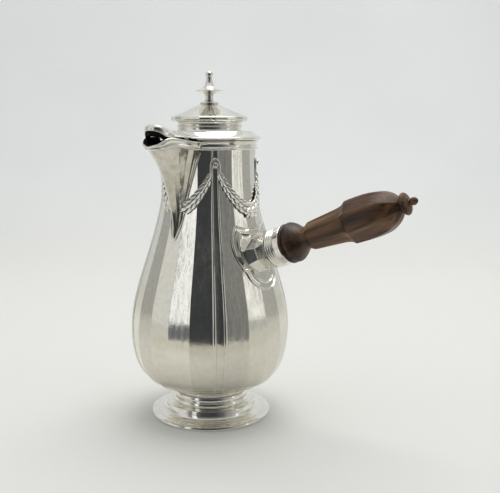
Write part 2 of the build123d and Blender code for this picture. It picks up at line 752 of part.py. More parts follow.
def make_hinge_pin():
    """Hinge pin, riveted over at both ends."""
    half = HINGE_WIDTH / 2
    pin = across(HINGE_PIN_R, -half - PIN_HEAD_H, half + PIN_HEAD_H)
    for side in (-1, 1):
        ends = sorted((side * (half + 0.02), side * (half + PIN_HEAD_H)))
        pin += across(PIN_HEAD_R, *ends)
    return pin


# ======================================================================================
# Handle: plate, socket, ferrule, wooden grip, cross pin
# ======================================================================================
HANDLE_ALONG = Vector(cos(radians(HANDLE_TILT)), 0, sin(radians(HANDLE_TILT)))
HANDLE_UP = Vector(-sin(radians(HANDLE_TILT)), 0, cos(radians(HANDLE_TILT)))
HANDLE_FOOT = Vector(HANDLE_X, 0, HANDLE_Z)
handle_turning = Plane(origin=HANDLE_FOOT, x_dir=HANDLE_UP, z_dir=Vector(0, 1, 0))
FERRULE_END = SOCKET_LENGTH + FERRULE_LENGTH


def across_handle(distance):
    """Plane square to the handle's axis, this far out from the body."""
    return Plane(origin=HANDLE_FOOT + HANDLE_ALONG * distance, x_dir=HANDLE_UP, z_dir=HANDLE_ALONG)


def handle_cylinder(radius, low, high):
    """Cylinder on the handle's axis between two distances."""
    return extrude(across_handle(low) * Circle(radius), high - low)


def faceted(places, sides, ruled=False):
    """Faceted form on the handle's axis through (distance, half width over flats)."""
    corner = 1 / cos(radians(180 / sides))
    turn = Rot(0, 0, 180 / sides)
    return loft([
        across_handle(distance) * turn * RegularPolygon(half * corner, sides).face()
        for distance, half in places
    ], ruled=ruled)


def plate_prism(inset):
    """Cartouche outline pushed straight through the handle side, drawn in by an inset."""
    mirrored = [(-across, height) for across, height in (PLATE_TOP, PLATE_LOBE, PLATE_NOTCH, PLATE_TAIL)]
    top_left, lobe_left, notch_left, tail_left = mirrored
    face = make_face([
        ThreePointArc(top_left, (0, PLATE_TOP_DIP), PLATE_TOP),
        ThreePointArc(PLATE_TOP, PLATE_LOBE, PLATE_NOTCH),
        Line(PLATE_NOTCH, PLATE_TAIL),
        ThreePointArc(PLATE_TAIL, (0, PLATE_FOOT_Z), tail_left),
        Line(tail_left, notch_left),
        ThreePointArc(notch_left, lobe_left, top_left),
    ])
    if inset:
        face = offset(face, amount=-inset, kind=Kind.INTERSECTION)
    return extrude(Plane.YZ * face, 2 * BELLY_R)


socket_form = faceted(SOCKET_FORM, SOCKET_SIDES)


def make_handle_plate():
    """Cartouche on the body: sheet field, border with two beads and a knot in each notch."""
    low, high = PLATE_FOOT_Z - 15, PLATE_TOP[1] + 15
    whole = plate_prism(0)
    beads = whole - plate_prism(PLATE_BEAD)
    beads += plate_prism(PLATE_BORDER - PLATE_BEAD) - plate_prism(PLATE_BORDER)
    for side in (-1, 1):
        knot = Pos(0, side * PLATE_NOTCH[0], (PLATE_NOTCH[1] + PLATE_TAIL[1]) / 2)
        beads += knot * Rot(0, 90, 0) * Cylinder(PLATE_KNOT_R, 4 * BELLY_R)
    behind = Pos(-BELLY_R, 0, RIM_Z / 2) * Box(2 * BELLY_R, 4 * BELLY_R, 2 * RIM_Z)
    plate = body_form(PLATE_THICK, low, high) & whole
    plate += body_form(PLATE_THICK + PLATE_BEAD_RISE, low, high) & beads
    socket_space = faceted([(distance, half + SOLDER_GAP) for distance, half in SOCKET_FORM], SOCKET_SIDES)
    return plate - body_tool - behind - socket_space


def make_handle_socket():
    """Faceted boss, flared on the plate, waisted, and opened out to carry the ferrule."""
    bore = handle_cylinder(TENON_R + TENON_FIT, FERRULE_END - TENON_LENGTH, SOCKET_LENGTH + 1)
    return socket_form - body_tool - bore


def make_handle_ferrule():
    """Ferrule: reeds next to the socket, a deep groove, then a plain band."""
    start = SOCKET_LENGTH + SOLDER_GAP
    bore = TENON_R + TENON_FIT
    edge = FERRULE_R - 0.7
    lines = [Line((bore, start), (edge, start))]
    at = start
    for _ in range(REEDS):
        lines.append(ThreePointArc((edge, at), (FERRULE_R, at + REED_PITCH / 2), (edge, at + REED_PITCH)))
        at += REED_PITCH
    groove = at + 0.6
    band = groove + 1.0
    lines += [
        Line((edge, at), (FERRULE_R - FERRULE_GROOVE, groove)),
        Line((FERRULE_R - FERRULE_GROOVE, groove), (FERRULE_R - 0.3, band)),
        Line((FERRULE_R - 0.3, band), (FERRULE_R - 0.1, FERRULE_END)),
        Line((FERRULE_R - 0.1, FERRULE_END), (bore, FERRULE_END)),
        Line((bore, FERRULE_END), (bore, start)),
    ]
    return turned(lines, handle_turning) - cross_pin_bore


cross_pin_bore = Pos(*(HANDLE_FOOT + HANDLE_ALONG * CROSS_PIN_AT)) * Rot(90, 0, 0)
cross_pin_bore *= Cylinder(CROSS_PIN_R + SOLDER_GAP, 4 * FERRULE_R)


def make_handle_grip():
    """Wooden handle: tenon, turned bell and neck, faceted shaft and bulb, turned knob."""
    start = FERRULE_END + SOLDER_GAP
    bell = start + 4.5
    neck = start + BELL_LENGTH
    shaft = neck + SHAFT_RISE
    step = shaft + SHAFT_LENGTH
    bulb = step + BULB_STEP
    shoulder = bulb + BULB_LENGTH
    end = shoulder + BULB_TAPER
    knob_end = end + KNOB_LENGTH
    knob = (end + knob_end) / 2
    tip = knob_end + 0.6 + TIP_R
    near, far = SHAFT_R
    turned_part = turned([
        Line((0, start - TENON_LENGTH + 0.3), (TENON_R, start - TENON_LENGTH + 0.3)),
        Line((TENON_R, start - TENON_LENGTH + 0.3), (TENON_R, start)),
        Line((TENON_R, start), (BELL_R - 1.2, start)),
        ThreePointArc((BELL_R - 1.2, start), (BELL_R - 0.3, start + 1.0), (BELL_R - 1.0, start + 2.0)),
        Spline(
            (BELL_R - 1.0, start + 2.0),
            (BELL_R, bell),
            (0.82 * BELL_R, start + 9.5),
            (BELL_NECK_R + 0.4, start + 14.0),
            (BELL_NECK_R, neck),
        ),
        Line((BELL_NECK_R, neck), (0, neck)),
        Line((0, neck), (0, start - TENON_LENGTH + 0.3)),
    ], handle_turning)
    rise = faceted([(neck, BELL_NECK_R), (shaft, near), (step, far), (bulb, BULB_R)], GRIP_SIDES, ruled=True)
    swelling = faceted([
        (bulb, BULB_R),
        (bulb + 0.5 * BULB_LENGTH, BULB_R + 0.3),
        (shoulder, BULB_R - 0.3),
        (shoulder + 0.55 * BULB_TAPER, 0.76 * BULB_R),
        (end, BULB_END_R),
    ], GRIP_SIDES)
    knob_part = turned([
        Line((0, end), (BULB_END_R, end)),
        Line((BULB_END_R, end), (BULB_END_R - 0.6, end + 0.8)),
        Line((BULB_END_R - 0.6, end + 0.8), (KNOB_R - 0.8, end + 1.4)),
        ThreePointArc((KNOB_R - 0.8, end + 1.4), (KNOB_R, knob), (KNOB_R - 0.8, knob_end - 1.2)),
        Line((KNOB_R - 0.8, knob_end - 1.2), (1.8, knob_end)),
        Line((1.8, knob_end), (1.5, tip - 0.7 * TIP_R)),
        Line((1.5, tip - 0.7 * TIP_R), (0, tip - 0.7 * TIP_R)),
        Line((0, tip - 0.7 * TIP_R), (0, end)),
    ], handle_turning)
    tip_ball = across_handle(tip).location * Sphere(TIP_R)
    return turned_part + rise + swelling + knob_part + tip_ball - cross_pin_bore


def make_handle_pin():
    """Silver pin driven through ferrule and tenon."""
    pin = Pos(*(HANDLE_FOOT + HANDLE_ALONG * CROSS_PIN_AT)) * Rot(90, 0, 0)
    return pin * Cylinder(CROSS_PIN_R, 2 * FERRULE_R - 0.4)


# ======================================================================================
# Studs and laurel garlands
# ======================================================================================
STUD_ANGLES = (45.0, 135.0, 225.0, 315.0)


def surface_frame(angle, height, sink=0.0):
    """Plane on the body's skin: Z out of the skin, X level, Y up the body."""
    reach = radius_at(height) - sink
    tilt = radians(slope_at(height))
    turn = radians(angle)
    out = Vector(cos(turn) * cos(tilt), sin(turn) * cos(tilt), sin(tilt))
    level = Vector(-sin(turn), cos(turn), 0)
    return Plane(origin=Vector(reach * cos(turn), reach * sin(turn), height), x_dir=level, z_dir=out)


def stud_place(angle):
    return surface_frame(angle, STUD_Z)


def make_stud(angle):
    """Round stud on a rib with a dimple in its domed head."""
    place = stud_place(angle)
    foot = Pos(0, 0, (STUD_BASE_H + RIB_RISE) / 2) * Cylinder(STUD_BASE_R, STUD_BASE_H + RIB_RISE + 1.0)
    top = RIB_RISE + STUD_BASE_H + STUD_PROUD
    head = Pos(0, 0, top / 2) * Cylinder(STUD_R, top)
    head = fillet(head.edges().group_by(Axis.Z)[-1], 0.9)
    dimple = Pos(0, 0, top + 0.5) * Sphere(0.9)
    return place.location * (foot + head - dimple) - body_tool


def swag_centre(share):
    """Angle and height of a swag's centre line; share runs from -1 to 1 between its studs."""
    return 45.0 * share, SWAG_LOW_Z + (STUD_Z - SWAG_LOW_Z) * share ** 2


def swag_half_width(share):
    narrow, wide = SWAG_HALF
    return wide + (narrow - wide) * abs(share) ** 5


def laid(share, along, sideways, turn):
    """Point of the handle side's front view, given in millimetres on the body's skin."""
    angle, height = swag_centre(share)
    reach = radius_at(height)
    point = Vector(along, sideways, 0).rotate(Axis.Z, turn)
    return reach * sin(radians(angle) + point.X / reach), height + point.Y


def swag_heading(share):
    """Degrees that the swag's line, followed towards its middle, makes with the level."""
    step = -0.01 if share > 0 else 0.01
    angle, height = swag_centre(share)
    ahead_angle, ahead_height = swag_centre(share + step)
    return degrees(atan2(ahead_height - height, radians(ahead_angle - angle) * radius_at(height)))


def leaf_face(share, row, size):
    """Front view of one pointed laurel leaf with its tip towards the swag's middle."""
    half = swag_half_width(share)
    scale = size * (0.45 + 0.55 * half / SWAG_HALF[1])
    turn = swag_heading(share)
    long, wide = LEAF_LENGTH * scale / 2, LEAF_WIDTH * scale / 2
    shape = ((-long, 0), (-0.5 * long, 0.8 * wide), (0.1 * long, wide), (long, 0), (0.1 * long, -wide),
             (-0.5 * long, -0.8 * wide))
    points = []
    for along, sideways in shape:
        fanned = Vector(along, sideways, 0).rotate(Axis.Z, LEAF_FAN * row)
        points.append(laid(share, fanned.X, fanned.Y + 0.58 * half * row, turn))
    return make_face(Polyline(*points, close=True))


def swag_band_face(start, end):
    """Front view of the backing that the leaves of a swag stand on."""
    count = 14
    upper, lower = [], []
    for index in range(count + 1):
        share = start + (end - start) * index / count
        half = 0.75 * swag_half_width(share)
        turn = swag_heading(share) + (180 if share > 0 else 0)
        upper.append(laid(share, 0, half, turn))
        lower.append(laid(share, 0, -half, turn))
    return make_face(Polyline(*upper, *reversed(lower), close=True))


def relief(faces, rise):
    """Front-view faces laid on the body's skin as relief of one height."""
    low, high = SWAG_LOW_Z - 25, RIM_Z
    prisms = Compound(children=[extrude(Plane.YZ * face, 2 * BELLY_R) for face in faces])
    return body_form(rise, low, high) & prisms


def make_swag(start, end, berries):
    """Garland of laurel leaves between two studs, on the +X quarter of the body."""
    path = 0.0
    steps = 40
    for index in range(steps):
        one = swag_centre(start + (end - start) * index / steps)
        two = swag_centre(start + (end - start) * (index + 1) / steps)
        path += hypot(radians(two[0] - one[0]) * NECK_R, two[1] - one[1])
    count = round(path / LEAF_PITCH)
    outline_face = swag_band_face(start, end)
    crowns = []
    for index in range(count):
        share = start + (end - start) * (index + 0.5) / count
        for row in (-1, 0, 1):
            outline_face += leaf_face(share, row, 1.0)
            crowns.append(leaf_face(share, row, 0.55))
    garland = relief(outline_face.faces(), 0.5 * SWAG_RELIEF)
    garland += relief(crowns, SWAG_RELIEF)
    if berries:
        frame = surface_frame(0.0, SWAG_LOW_Z - 0.5 * SWAG_HALF[1])
        for across, up in ((0.0, 3.2), (-2.6, 1.2), (2.6, 1.2), (0.0, -0.8), (0.0, -3.2)):
            garland += frame.location * Pos(across, up, 0.6) * Sphere(BERRY_R)
    for side in (-1, 1):
        garland -= surface_frame(side * 45.0, STUD_Z).location * Cylinder(STUD_BASE_R + SOLDER_GAP, 12)
    return (garland & wedge(45.0 - SWAG_CLEAR, 0.0)) - body_tool


# ======================================================================================
# Assembly: one STEP file for each piece
# ======================================================================================
pieces = {}
pieces["body_shell"] = make_body_shell()
pieces["rim_band"] = make_rim_band()
pieces["spout"] = make_spout()
pieces["spout_lip"] = make_spout_lip()
pieces["spout_roof"] = make_spout_roof(pieces["spout"], pieces["spout_lip"])
pieces["spout_border"] = make_spout_border() - pieces["spout_lip"]
pieces["foot_ring"] = make_foot_ring()
pieces["foot"] = make_foot()
pieces["foot_collar"] = make_foot_collar()
pieces["lid_flange"] = make_lid_flange()
pieces["lid_bezel"] = make_lid_bezel()
pieces["lid_neck"] = make_lid_neck()
pieces["lid_dome"] = make_lid_dome()
pieces["finial_bush"] = make_finial_bush()
pieces["finial"] = make_finial()
pieces["hinge_plate"] = make_hinge_plate()
pieces["lid_knuckle"] = make_lid_knuckle(pieces["lid_flange"])
pieces["hinge_pin"] = make_hinge_pin()
pieces["handle_plate"] = make_handle_plate()
pieces["handle_socket"] = make_handle_socket()
pieces["handle_ferrule"] = make_handle_ferrule()
pieces["handle_grip"] = make_handle_grip()
pieces["handle_pin"] = make_handle_pin()

for name, angle in zip(("stud_back_right", "stud_back_left", "stud_front_left", "stud_front_right"), STUD_ANGLES):
    pieces[name] = make_stud(angle)

full_swag = make_swag(-SWAG_END, SWAG_END, True)
for name, angle in (("garland_handle", 0), ("garland_back", 90), ("garland_side", 180)):
    pieces[name] = Rot(0, 0, angle) * full_swag
half_swag = Rot(0, 0, -90) * make_swag(CUT_SWAG_END, SWAG_END, False)
pieces["garland_spout_right"] = half_swag - pieces["spout_border"] - beak_tool
pieces["garland_spout_left"] = mirror(pieces["garland_spout_right"], Plane.YZ)

os.makedirs("parts", exist_ok=True)
for name, shape in pieces.items():
    export_step(shape, "parts/" + name + ".step")
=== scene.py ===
import bpy
import bmesh
from math import asin, atan2, cos, degrees, hypot, pi, radians, sin, sqrt, tan
from mathutils import Matrix, Vector


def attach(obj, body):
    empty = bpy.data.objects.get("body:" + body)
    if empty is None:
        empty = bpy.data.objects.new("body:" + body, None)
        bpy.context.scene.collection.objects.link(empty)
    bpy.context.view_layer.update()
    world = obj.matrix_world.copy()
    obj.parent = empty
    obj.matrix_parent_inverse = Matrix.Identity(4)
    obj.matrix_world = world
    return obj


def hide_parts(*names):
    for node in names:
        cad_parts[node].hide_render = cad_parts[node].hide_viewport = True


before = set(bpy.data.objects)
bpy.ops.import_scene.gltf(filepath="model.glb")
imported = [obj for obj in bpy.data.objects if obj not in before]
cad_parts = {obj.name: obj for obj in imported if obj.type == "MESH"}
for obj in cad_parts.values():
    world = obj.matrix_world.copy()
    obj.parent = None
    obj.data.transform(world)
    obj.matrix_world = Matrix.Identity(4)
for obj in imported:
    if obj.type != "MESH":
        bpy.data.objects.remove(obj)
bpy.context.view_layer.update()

# ======================================================================================
# Camera, table and light
# A plain pale table that curves up into a pale wall, two tall soft lights and one above,
# and a darker part of the room behind the camera for the silver to mirror.
# ======================================================================================
CAMERA_PLACE = (0.3387, -0.4241, 0.2099)
CAMERA_HEADING = 35.6     # degrees from +Y towards -X
CAMERA_DIP = 9.2
CAMERA_ROLL = 0.13
CAMERA_LENS = 55.15
CAMERA_SENSOR = 36.0
# Level directions from the pot: towards the camera, and to the right across its view.
CAMERA_SIDE = radians(CAMERA_HEADING - 90)
TOWARD = (cos(CAMERA_SIDE), sin(CAMERA_SIDE), 0)
ACROSS = (-sin(CAMERA_SIDE), cos(CAMERA_SIDE), 0)

scene = bpy.context.scene
scene.view_settings.view_transform = "Standard"
camera_data = bpy.data.cameras.new("camera")
camera_data.lens = CAMERA_LENS
camera_data.sensor_width = CAMERA_SENSOR
camera = bpy.data.objects.new("camera", camera_data)
scene.collection.objects.link(camera)
camera.location = CAMERA_PLACE
heading = Matrix.Rotation(radians(CAMERA_HEADING), 4, "Z")
dip = Matrix.Rotation(radians(90 - CAMERA_DIP), 4, "X")
roll = Matrix.Rotation(radians(CAMERA_ROLL), 4, "Z")
camera.rotation_euler = (heading @ dip @ roll).to_euler()
bpy.context.scene.camera = camera


def deselect_all():
    for piece in list(bpy.context.selected_objects):
        piece.select_set(False)


def work_on(*chosen):
    """Selects these objects only, the last of them active."""
    deselect_all()
    for piece in chosen:
        piece.select_set(True)
    bpy.context.view_layer.objects.active = chosen[-1]


def set_place(piece):
    """Moves a piece's place, turn and size into its mesh."""
    work_on(piece)
    bpy.ops.object.transform_apply(location=True, rotation=True, scale=True)


def start_piece(name, add, **sizes):
    """Adds a primitive by itself, to be shaped, with its place in its mesh."""
    deselect_all()
    add(**sizes)
    piece = bpy.context.active_object
    piece.name = name
    set_place(piece)
    return piece


def edit(piece):
    work_on(piece)
    bpy.ops.object.mode_set(mode="EDIT")
    return bmesh.from_edit_mesh(piece.data)


def select_whole():
    bpy.ops.mesh.select_all(action="SELECT")


def choose(mesh, wanted):
    """Selects, in edit mode, the points that pass the test."""
    bpy.ops.mesh.select_all(action="DESELECT")
    bpy.ops.mesh.select_mode(type="VERT")
    for point in mesh.verts:
        point.select_set(wanted(point))
    mesh.select_flush_mode()


def draw_on(across, ahead, up):
    """Draws what is selected further by this step, as new faces."""
    bpy.ops.mesh.extrude_region_move(TRANSFORM_OT_translate={"value": (across, ahead, up)})


def face_out(piece, merge=0.0, towards=None):
    """Last step in edit mode: doubles merged if asked, and every face turned outwards.

    An open sheet has no outside, so it is told which way its faces point.
    """
    select_whole()
    if merge:
        bpy.ops.mesh.remove_doubles(threshold=merge)
        select_whole()
    bpy.ops.mesh.normals_make_consistent(inside=False)
    if towards:
        mesh = bmesh.from_edit_mesh(piece.data)
        if sum(face.normal.dot(Vector(towards)) * face.calc_area() for face in mesh.faces) < 0:
            bpy.ops.mesh.flip_normals()
    bpy.ops.object.mode_set(mode="OBJECT")


def feed(node, inputs):
    """Gives a node's sockets plain values, or links them to other nodes' outputs."""
    for name, value in inputs.items():
        socket = node.inputs[name]
        if isinstance(value, bpy.types.NodeSocket):
            node.id_data.links.new(value, socket)
        else:
            socket.default_value = (*value, 1) if socket.type == "RGBA" else value


def add_node(tree, kind, inputs=None, **settings):
    """Adds a shader node, sets it up and feeds it."""
    node = tree.nodes.new("ShaderNode" + kind)
    for setting, value in settings.items():
        setattr(node, setting, value)
    feed(node, inputs or {})
    return node


def coordinates(tree):
    return add_node(tree, "TexCoord").outputs["Object"]


def noise(tree, place, scale, detail=2.0, roughness=0.5, distortion=0.0):
    return add_node(tree, "TexNoise", {
        "Vector": place, "Scale": scale, "Detail": detail, "Roughness": roughness, "Distortion": distortion,
    }).outputs["Fac"]


def ramp(tree, mask, stops):
    """Colours along a mask, as (place, colour) stops."""
    node = add_node(tree, "ValToRGB", {"Fac": mask})
    elements = node.color_ramp.elements
    while len(elements) < len(stops):
        elements.new(0.5)
    for element, (place, colour) in zip(elements, stops):
        element.position = place
        element.color = (*colour, 1)
    return node.outputs["Color"]


def remap(tree, value, given, wanted=(0.0, 1.0)):
    """Draws a value from one range over another and keeps it inside."""
    return add_node(tree, "MapRange", {
        "Value": value, "From Min": given[0], "From Max": given[1],
        "To Min": wanted[0], "To Max": wanted[1],
    }).outputs["Result"]


def maths(tree, operation, *values, **settings):
    return add_node(tree, "Math", dict(enumerate(values)), operation=operation, **settings).outputs["Value"]


def run_along(tree, place, direction):
    """How far a place lies along a direction."""
    return add_node(tree, "VectorMath", {0: place, 1: direction}, operation="DOT_PRODUCT").outputs["Value"]


def part_of(tree, place, axis):
    return add_node(tree, "SeparateXYZ", {"Vector": place}).outputs[axis]


def mixed(tree, share, first, second, blend="MIX"):
    return add_node(tree, "Mix", {"Factor": share, "A": first, "B": second},
                    data_type="RGBA", blend_type=blend).outputs["Result"]


def new_material(name, inputs):
    """Material with one Principled shader; its tree and its shader come with it."""
    made = bpy.data.materials.new(name)
    made.use_nodes = True
    tree = made.node_tree
    tree.nodes.clear()
    shader = add_node(tree, "BsdfPrincipled", inputs)
    add_node(tree, "OutputMaterial", {"Surface": shader.outputs["BSDF"]})
    return made, tree, shader


PAPER_WIDTH = 3.0
PAPER_FRONT = 0.30        # how far the table reaches towards the camera
PAPER_BACK = 0.45         # where the paper starts to curve up behind the pot
PAPER_CURVE = 0.45        # radius of that curve
PAPER_TURNS = 16          # strips round it
PAPER_TOP = 1.3
PAPER_GLOW = (0.02, 0.29)    # on the table and at the top of the curve
PAPER_TONES = ((0.3, (0.755, 0.775, 0.775)), (0.7, (0.80, 0.815, 0.81)))
TABLE_TONE = (0.79, 0.785, 0.755)
TABLE_RISE = 0.12         # height at which the paper has lost the table's tone
# Painted shade: deeper tones of the table outside the camera's view, which widens by this share with the
# distance, and how far aside and towards the camera they come in; they stand in for the shaded table that
# the silver mirrors.
UNSEEN_SHADE_TONES = ((0.35, (0.66, 0.645, 0.585)), (0.65, (0.71, 0.695, 0.63)))
VIEW_SPREAD = 0.33
UNSEEN_ASIDE = (0.205, 0.34)
UNSEEN_BEFORE = (0.15, 0.20)


def pale_paper():
    """Smooth pale paper, a little uneven in tone; the camera and the silver see it evenly lit, but for
    painted shade outside the camera's view.
    """
    made, tree, paper = new_material("pale_paper", {"Roughness": 0.8, "Specular IOR Level": 0.15})
    place = coordinates(tree)
    tone = ramp(tree, noise(tree, place, 4.0, 3.0), PAPER_TONES)
    # The upright part gets less of the light from above, so it glows a little with height.
    height = part_of(tree, place, "Z")
    glow = remap(tree, height, (0.0, PAPER_CURVE), PAPER_GLOW)
    upright = remap(tree, height, (0.0, TABLE_RISE))
    seen = mixed(tree, upright, TABLE_TONE, tone)
    # Painted shade: outside the view the table is a little deeper in tone, for the silver to mirror.
    toward = run_along(tree, place, TOWARD)
    aside = maths(tree, "ABSOLUTE", run_along(tree, place, ACROSS))
    beyond = remap(tree, maths(tree, "MULTIPLY_ADD", toward, VIEW_SPREAD, aside), UNSEEN_ASIDE)
    unseen = maths(tree, "MAXIMUM", beyond, remap(tree, toward, UNSEEN_BEFORE))
    unseen = maths(tree, "SUBTRACT", unseen, upright, use_clamp=True)
    unseen_shade = ramp(tree, noise(tree, place, 9.0, 2.0), UNSEEN_SHADE_TONES)
    feed(paper, {
        "Base Color": mixed(tree, unseen, seen, unseen_shade), "Emission Color": tone, "Emission Strength": glow,
    })
    return made


# Table and wall in one sheet of paper that curves up behind the pot.
paper = start_piece("paper", bpy.ops.mesh.primitive_plane_add, size=1.0)
paper.location = (0, (PAPER_BACK - PAPER_FRONT) / 2, 0)
paper.scale = (PAPER_WIDTH, PAPER_FRONT + PAPER_BACK, 1)
set_place(paper)
choose(edit(paper), lambda point: point.co.y > PAPER_BACK - 0.001)
for step in range(PAPER_TURNS):
    low, high = pi / 2 * step / PAPER_TURNS, pi / 2 * (step + 1) / PAPER_TURNS
    draw_on(0, PAPER_CURVE * (sin(high) - sin(low)), PAPER_CURVE * (cos(low) - cos(high)))
draw_on(0, 0, PAPER_TOP - PAPER_CURVE)
face_out(paper)
paper.rotation_euler = (0, 0, radians(CAMERA_HEADING))
set_place(paper)
bpy.ops.object.shade_smooth()
paper.data.materials.append(pale_paper())

# Bearing from the camera's side of the pot, in degrees, and how light the room is there.
ROOM_LEVELS = (
    (-180, 0.56), (-135, 0.54), (-103, 0.42), (-84, 0.72), (-66, 0.72), (-54, 0.2), (-30, 0.10),
    (-16, 0.055), (14, 0.05), (34, 0.12), (46, 0.29), (62, 0.42), (78, 0.56), (109, 0.46), (141, 0.52),
    (180, 0.56),
)
ROOM_DIM = 0.2            # up to this level the room is a little bluer, and over it warmer
LIT_TINT = (1.0, 1.0, 0.955)
DIM_TINT = (0.93, 1.0, 1.06)
CEILING = (0.74, 0.75, 0.75)
CEILING_START = (0.45, 0.75)    # upward share of the direction where it comes in


def make_room():
    """Pale room all round, with a darker stretch behind the camera and a pale ceiling."""
    room = bpy.data.worlds.new("room")
    scene.world = room
    room.use_nodes = True
    tree = room.node_tree
    tree.nodes.clear()
    place = add_node(tree, "TexCoord").outputs["Generated"]
    bearing = maths(tree, "ARCTAN2", run_along(tree, place, ACROSS), run_along(tree, place, TOWARD))
    stops = []
    for angle, level in ROOM_LEVELS:
        tint = LIT_TINT if level > ROOM_DIM else DIM_TINT
        stops.append(((angle + 180) / 360, [level * part for part in tint]))
    walls = ramp(tree, remap(tree, bearing, (-pi, pi)), stops)
    overhead = remap(tree, part_of(tree, place, "Z"), CEILING_START)
    light = add_node(tree, "Background", {"Color": mixed(tree, overhead, walls, CEILING)})
    add_node(tree, "OutputWorld", {"Surface": light.outputs["Background"]})


make_room()

# Bearing from the camera's side, distance, height, width and height of the light, power and colour.
SOFT_LIGHTS = {
    "window_left": (-41, 1.3, 0.50, (0.28, 0.8), 0.64, (1.0, 1.0, 1.0)),
    "window_right": (74, 1.3, 0.50, (0.14, 0.8), 0.23, (1.0, 0.99, 0.97)),
    "overhead": (150, 0.35, 1.5, (1.0, 1.0), 9.8, (1.0, 1.0, 1.0)),
}
LIGHTS_AIM = Vector((0, 0, 0.12))

for name, (bearing, distance, height, size, power, colour) in SOFT_LIGHTS.items():
    light = bpy.data.lights.new(name, "AREA")
    light.shape = "RECTANGLE"
    light.size, light.size_y = size
    light.energy = power
    light.color = colour
    lamp = bpy.data.objects.new(name, light)
    scene.collection.objects.link(lamp)
    angle = CAMERA_SIDE + radians(bearing)
    lamp.location = (distance * cos(angle), distance * sin(angle), height)
    lamp.rotation_euler = (LIGHTS_AIM - lamp.location).to_track_quat("-Z", "Y").to_euler()

# ======================================================================================
# Body
# Pear-shaped body raised from sterling silver sheet and hammered into twenty flat facets
# between four reeded ribs; open at the rim and, behind the spout, into the spout.
# ======================================================================================
# Height and radius over the facets' corners, in millimetres.
BODY_OUTLINE = (
    (22.8, 29.5), (23.17, 33.04), (24.2, 37.26), (26.16, 41.53), (29.14, 45.45), (33.07, 48.75),
    (37.68, 51.34), (42.74, 53.28), (48.12, 54.65), (53.7, 55.53), (59.42, 55.98), (65.25, 56.03),
    (71.16, 55.7), (77.1, 54.99), (83.07, 53.94), (89.04, 52.59), (95.01, 51.0), (101.0, 49.24),
    (107.02, 47.36), (113.07, 45.43), (119.16, 43.48), (125.31, 41.55), (131.53, 39.67),
    (137.83, 37.9), (144.2, 36.27), (150.67, 34.84), (157.23, 33.69), (163.88, 32.84), (170.6, 32.28),
    (177.37, 31.98), (184.18, 31.87), (191.02, 31.86), (197.9, 31.9),
)
BODY_TOP = 197.9
BODY_WALL = 0.001
RIB_RISE = 0.0145         # of the radius
# Degrees from a rib's centre and share of the rib's rise, for the reeds and channel.
RIB_FORM = (
    (5.0, 0.0), (4.75, 0.5), (4.25, 0.9), (3.75, 1.0), (3.25, 0.9), (2.75, 0.5), (2.5, 0.0),
    (1.75, -0.12), (0.75, -0.2),
)
RIB_BEARING = 45          # of the first rib; they are a quarter turn apart
RIB_HALF = 5
FACET = 16                # degrees
FACET_CORNERS = (21, 37, 53, 69)
CORNER_HALF = 0.25        # each corner keeps a narrow flat
RING_POINTS = 1440        # four to a degree
SAME_BEARING = 0.05


def smooth_points(points, steps):
    """More points on a smooth curve through these."""
    made = []
    last = len(points) - 1
    for index in range(last):
        a, b, c, d = (Vector(points[min(max(index + k, 0), last)]) for k in (-1, 0, 1, 2))
        for step in range(steps):
            t = step / steps
            bend, turn = 2 * a - 5 * b + 4 * c - d, 3 * b - a - 3 * c + d
            made.append(0.5 * (2 * b + (c - a) * t + bend * t * t + turn * t ** 3))
    made.append(Vector(points[-1]))
    return made


def levels_through(outline, steps):
    """Levels to draw a ring up through, as height and radius in metres."""
    return [(place.x / 1000, place.y / 1000) for place in smooth_points(outline, steps)]


BODY_LEVELS = levels_through(BODY_OUTLINE, 3)


def body_radius(height):
    """Radius over the facets' corners at a height, both in millimetres."""
    for (low, low_r), (high, high_r) in zip(BODY_LEVELS, BODY_LEVELS[1:]):
        if low <= height / 1000 <= high:
            return (low_r + (high_r - low_r) * (height / 1000 - low) / (high - low)) * 1000
    return BODY_LEVELS[-1][1] * 1000


def apply_all(piece):
    work_on(piece)
    for modifier in list(piece.modifiers):
        bpy.ops.object.modifier_apply(modifier=modifier.name)


def give_wall(piece, thickness, inner=0, even=False):
    """Thickens a sheet inwards; the inside takes the material this many slots on."""
    wall = piece.modifiers.new("wall", "SOLIDIFY")
    wall.thickness = thickness
    wall.offset = -1
    wall.use_even_offset = even
    wall.material_offset = wall.material_offset_rim = inner
    apply_all(piece)


def cut_away(piece, cutter):
    """Cuts a form out of a piece and clears the form away."""
    cut = piece.modifiers.new("cut", "BOOLEAN")
    cut.object = cutter
    cut.solver = "EXACT"
    apply_all(piece)
    bpy.data.objects.remove(cutter, do_unlink=True)


def smooth_over(piece, sharp):
    """Smooth shading that keeps the edges that are sharper than an angle."""
    work_on(piece)
    bpy.ops.object.shade_smooth_by_angle(angle=radians(sharp))


def settle_normals(piece, sharp=30.0):
    """Smooth shading that also keeps the flats flat."""
    smooth_over(piece, sharp)
    flats = piece.modifiers.new("flats", "WEIGHTED_NORMAL")
    flats.keep_sharp = True
    flats.weight = 50
    apply_all(piece)


def past_rib(angle):
    """Degrees of a bearing past the rib before it."""
    return (angle - RIB_BEARING) % 90


def from_rib(point):
    """Degrees of a point's bearing from the nearest rib."""
    past = past_rib(degrees(atan2(point.co.y, point.co.x)))
    return min(past, 90 - past)


def spare(point):
    """Whether a ring's point is on neither a rib nor a facet's corner."""
    past = past_rib(degrees(atan2(point.co.y, point.co.x)))
    on_rib = any(abs(from_rib(point) - offset) < SAME_BEARING for offset, _ in RIB_FORM)
    on_corner = any(abs(abs(past - corner) - CORNER_HALF) < SAME_BEARING for corner in FACET_CORNERS)
    return not (on_rib or on_corner)


